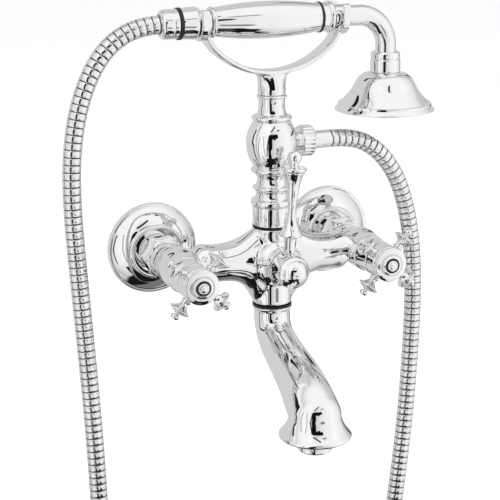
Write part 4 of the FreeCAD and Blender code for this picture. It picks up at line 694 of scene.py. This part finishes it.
def make_hose():
    """Ribbed hose: rings square to the line, whose radius swells and dips once in each pitch of the
    ribs. `beat` is where the rings of a rib stand along its pitch, `crown` how far each rises."""
    line = hose_line()
    gone = np.r_[0, np.cumsum(np.linalg.norm(np.diff(line, axis=0), axis=1))]
    ribs = int(round(gone[-1] / RIB_PITCH))
    beat = np.array([0.0, 0.045, 0.10, 0.17, 0.33, 0.50, 0.67, 0.83, 0.90, 0.955])
    crown = np.array([0.0, 0.25, 0.78, 0.93, 0.99, 1.0, 0.99, 0.93, 0.78, 0.25])
    station = np.append((np.arange(ribs)[:, None] + beat).ravel(), ribs) / ribs * gone[-1]
    rise = np.append(np.tile(crown, ribs), 0.0)
    radius = HOSE_RADIUS - HOSE_GROOVE * (1 - rise)
    centre = np.stack([np.interp(station, gone, line[:, k]) for k in range(3)], -1)
    near = 1.5
    after = np.minimum(station + near, gone[-1])
    before = np.maximum(station - near, 0)
    ahead = np.stack([np.interp(after, gone, line[:, k]) - np.interp(before, gone, line[:, k])
                      for k in range(3)], -1)
    ahead /= np.linalg.norm(ahead, axis=1)[:, None]
    wallward = np.array([0, 1.0, 0])
    level = np.cross(ahead, wallward)
    around = 28
    angle = np.arange(around) * 2 * np.pi / around
    spokes = np.cos(angle)[:, None] * wallward + np.sin(angle)[:, None] * level[:, None, :]
    rings = centre[:, None] + radius[:, None, None] * spokes
    points = np.r_[centre[:1], rings.reshape(-1, 3), centre[-1:]]
    faces = grid_faces(len(station) + 2, around, pole_first=True, pole_last=True)
    hose = make_piece("shower_hose", points, faces, HOSE_CHROME, None, sharp=75.0)
    # Painted shade: 1 on the rib crowns and down to 0.05 in the grooves, which the hose material
    # multiplies into its colour
    unshaded_share = 0.05 + 0.95 * np.clip((rise - 0.15) / 0.7, 0, 1)
    paint = hose.data.color_attributes.new("groove_shade", "FLOAT_COLOR", "POINT")
    shade = np.r_[unshaded_share[:1], np.repeat(unshaded_share, around), unshaded_share[-1:]]
    paint.data.foreach_set("color", np.stack([shade, shade, shade, np.ones_like(shade)], -1).ravel())
    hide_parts("hose")
    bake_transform(hose)


make_hose()


def stage_surface(name, points, faces, material):
    """A surface of the studio, in metres: no part of the mixer."""
    mesh = bpy.data.meshes.new(name)
    mesh.from_pydata(np.asarray(points, float).tolist(), [], faces)
    mesh.materials.append(material)
    surface = bpy.data.objects.new(name, mesh)
    bpy.context.collection.objects.link(surface)
    return surface


def seen_straight(tree):
    """An output that is 1 for the rays that show a surface, straight, mirrored or through glass, and 0
    for those that only light the mixer."""
    add, link = node_maker(tree), tree.links.new
    rays = add("ShaderNodeLightPath")
    seen = rays.outputs["Is Camera Ray"]
    for kind in ("Is Glossy Ray", "Is Transmission Ray"):
        either = add("ShaderNodeMath", operation="MAXIMUM")
        link(seen, either.inputs[0])
        link(rays.outputs[kind], either.inputs[1])
        seen = either.outputs[0]
    return seen


def pale_floor():
    """Floor below the hose: near white, and brighter to rays that see it than to those that light."""
    material, link, shader, add = finish_nodes("pale_floor")
    shader.inputs["Base Color"].default_value = (0.90, 0.90, 0.90, 1)
    shader.inputs["Roughness"].default_value = 0.9
    shader.inputs["Emission Color"].default_value = (1, 1, 1, 1)
    lift = ranged(add, link, seen_straight(material.node_tree), 0.0, 0.42)
    link(lift, shader.inputs["Emission Strength"])
    low = cad_box[0][2] - 0.004
    half = 25.0
    corners = [(-half, -half, low), (half, -half, low), (half, half, low), (-half, half, low)]
    stage_surface("floor", corners, [(0, 1, 2, 3)], material)
    return low


# Light of the studio's walls at each bearing
WALL_GLOW = (
    (-180, 0.66), (-125, 0.67), (-112, 0.70), (-106, 1.00), (-100, 0.66), (-92, 0.86), (-80, 0.96),
    (-64, 1.00), (-41, 0.95), (-18, 0.66), (-6, 0.79), (4, 0.86), (17, 0.91), (31, 0.95),
    (57, 1.03), (69, 0.96), (90, 0.87), (99, 0.80), (109, 0.60), (140, 0.60), (180, 0.66),
)

# Dark floor, in patches: bearing from, to and soft edge, rise from, to and soft edge, and light
DARK_FLOOR = (
    ((-400, 400, 1), (-100, -61, 5), 0.19),
    ((-142, 64, 8), (-100, -59, 4), 0.010),
    ((-68, 28, 2), (-66, -41, 2), 0.008),
    ((-3, 14, 2), (-53, -45, 2), 0.10),
)

# Stands, booms and lamp edges: from one (bearing, rise) to another, half width, and light
STUDIO_BARS = (
    ((-31, -36), (-31, -46), 9.0, 0.008), ((-1, -39), (12, -38), 2.6, 0.010),
    ((12, -38), (22, -46), 4.0, 0.008), ((22, -46), (27, -55), 7.0, 0.008),
    ((28, -57), (60, -63), 3.8, 0.015), ((-32, -12), (-32, -40), 6.5, 0.008),
    ((-28.5, 20), (-28.5, -10), 8.5, 0.006), ((-28, 22), (2, 22), 6.4, 0.006),
    ((-20, 17), (-6, 14), 2.5, 0.020), ((2, -16), (12, -18), 4.5, 0.250),
    ((-28, 36), (0, 51), 2.4, 0.020), ((8, 38), (20, 37), 2.0, 0.120),
    ((-112, -48), (-110, -8), 3.6, 0.030), ((-110, -8), (-118, -2), 3.6, 0.010),
    ((-118, -2), (-112, 24), 3.8, 0.015), ((122, -20), (124, -2), 5.5, 0.060),
    ((131, 14), (130, 28), 3.6, 0.050), ((136, 33), (142, 46), 3.4, 0.040),
    ((-143, 43), (-156, 66), 5.5, 0.010), ((-180, 68), (-160, 68), 4.0, 0.150),
    ((146, -52), (176, -36), 5.0, 0.300), ((-46, -33), (-36, 21), 2.4, 0.010),
    ((-61, 20), (-55, -33), 1.6, 0.400), ((-88, -34), (-79, 16), 1.3, 0.060),
)


def light_tent(low):
    """The studio that polished metal mirrors, seen by reflected rays alone: a shell round the mixer,
    flattened onto the floor. Its light depends on the way from the mixer to the point, as a bearing (0
    in front, + to the right) and a rise, both in degrees: the walls' light at that bearing, dimmed
    toward the floor and lifted overhead, with the dark patches and bars laid over it."""
    columns, rows = 540, 271
    turn = np.radians(np.arange(columns) * 360.0 / columns)
    lift = np.radians(np.linspace(-89.9, 89.9, rows))
    turn, lift = np.meshgrid(turn, lift)
    way = np.stack([np.sin(turn) * np.cos(lift), -np.cos(turn) * np.cos(lift), np.sin(lift)], -1)
    heart = np.array([0, COLUMN[1] * MM, 0.03])
    far, clear, level = 2.6, 0.003, 1e-6
    drop = heart[2] - low - clear
    reach = np.minimum(far, drop / np.maximum(np.sin(-lift), level))
    points = (heart + reach[..., None] * way).reshape(-1, 3)
    bearing = (np.degrees(turn) + 180) % 360 - 180
    rise = np.degrees(lift)

    def within(value, start, end, soft):
        return np.clip((value - start) / soft + 0.5, 0, 1) * np.clip((end - value) / soft + 0.5, 0, 1)

    glow = np.interp(bearing, *zip(*WALL_GLOW))
    glow *= 1.06 - 0.28 * np.clip((-28 - rise) / 25, 0, 1)
    glow += (1.04 - glow) * within(bearing, -60, 100, 40) * np.clip((rise - 30) / 25, 0, 1)
    for across, upright, shade in DARK_FLOOR:
        share = within(bearing, *across) * within(rise, *upright)
        glow = glow * (1 - share) + shade * share
    for start, end, half, shade in STUDIO_BARS:
        along = np.array(end, float) - start
        apart = np.stack([bearing - start[0], rise - start[1]], -1)
        part = np.clip((apart @ along) / (along @ along), 0, 1)
        gap = np.linalg.norm(apart - part[..., None] * along, axis=-1)
        share = np.clip((half - gap) / 1.2 + 0.5, 0, 1)
        glow = glow * (1 - share) + shade * share
    material, link, shader, add = finish_nodes("light_tent")
    shader.inputs["Base Color"].default_value = (0, 0, 0, 1)
    shader.inputs["Specular IOR Level"].default_value = 0.0
    shader.inputs["Emission Strength"].default_value = 1.0
    light = add("ShaderNodeAttribute", attribute_name="glow")
    link(light.outputs["Color"], shader.inputs["Emission Color"])
    tent = stage_surface("light_tent", points, grid_faces(rows, columns), material)
    paint = tent.data.color_attributes.new("glow", "FLOAT_COLOR", "POINT")
    paint.data.foreach_set("color", np.repeat(glow.ravel(), 4))
    for ray in ("visible_camera", "visible_diffuse", "visible_shadow", "visible_transmission",
                "visible_volume_scatter"):
        setattr(tent, ray, False)


def softbox(name, place, aim, size, power):
    """A square soft lamp aimed at a point."""
    light = bpy.data.lights.new(name, "AREA")
    light.energy = power
    light.size = size
    lamp = bpy.data.objects.new(name, light)
    bpy.context.collection.objects.link(lamp)
    lamp.location = place
    lamp.rotation_euler = (Vector(aim) - Vector(place)).to_track_quat("-Z", "Y").to_euler()


def set_studio():
    """White world, stronger where it is seen than where it lights, floor, tent and two soft lamps."""
    world = bpy.data.worlds.new("studio")
    bpy.context.scene.world = world
    world.use_nodes = True
    tree = world.node_tree
    ground = tree.nodes["Background"]
    ground.inputs["Color"].default_value = (1, 1, 1, 1)
    strength = ranged(node_maker(tree), tree.links.new, seen_straight(tree), 0.55, 1.0)
    tree.links.new(strength, ground.inputs["Strength"])
    light_tent(pale_floor())
    middle = (0, -0.07, 0)
    softbox("key_lamp", (-2.2, -2.6, 3.0), middle, 1.6, 90)
    softbox("fill_lamp", (2.8, -2.1, 1.7), middle, 1.8, 45)


set_studio()
bpy.context.scene.view_settings.view_transform = "Standard"
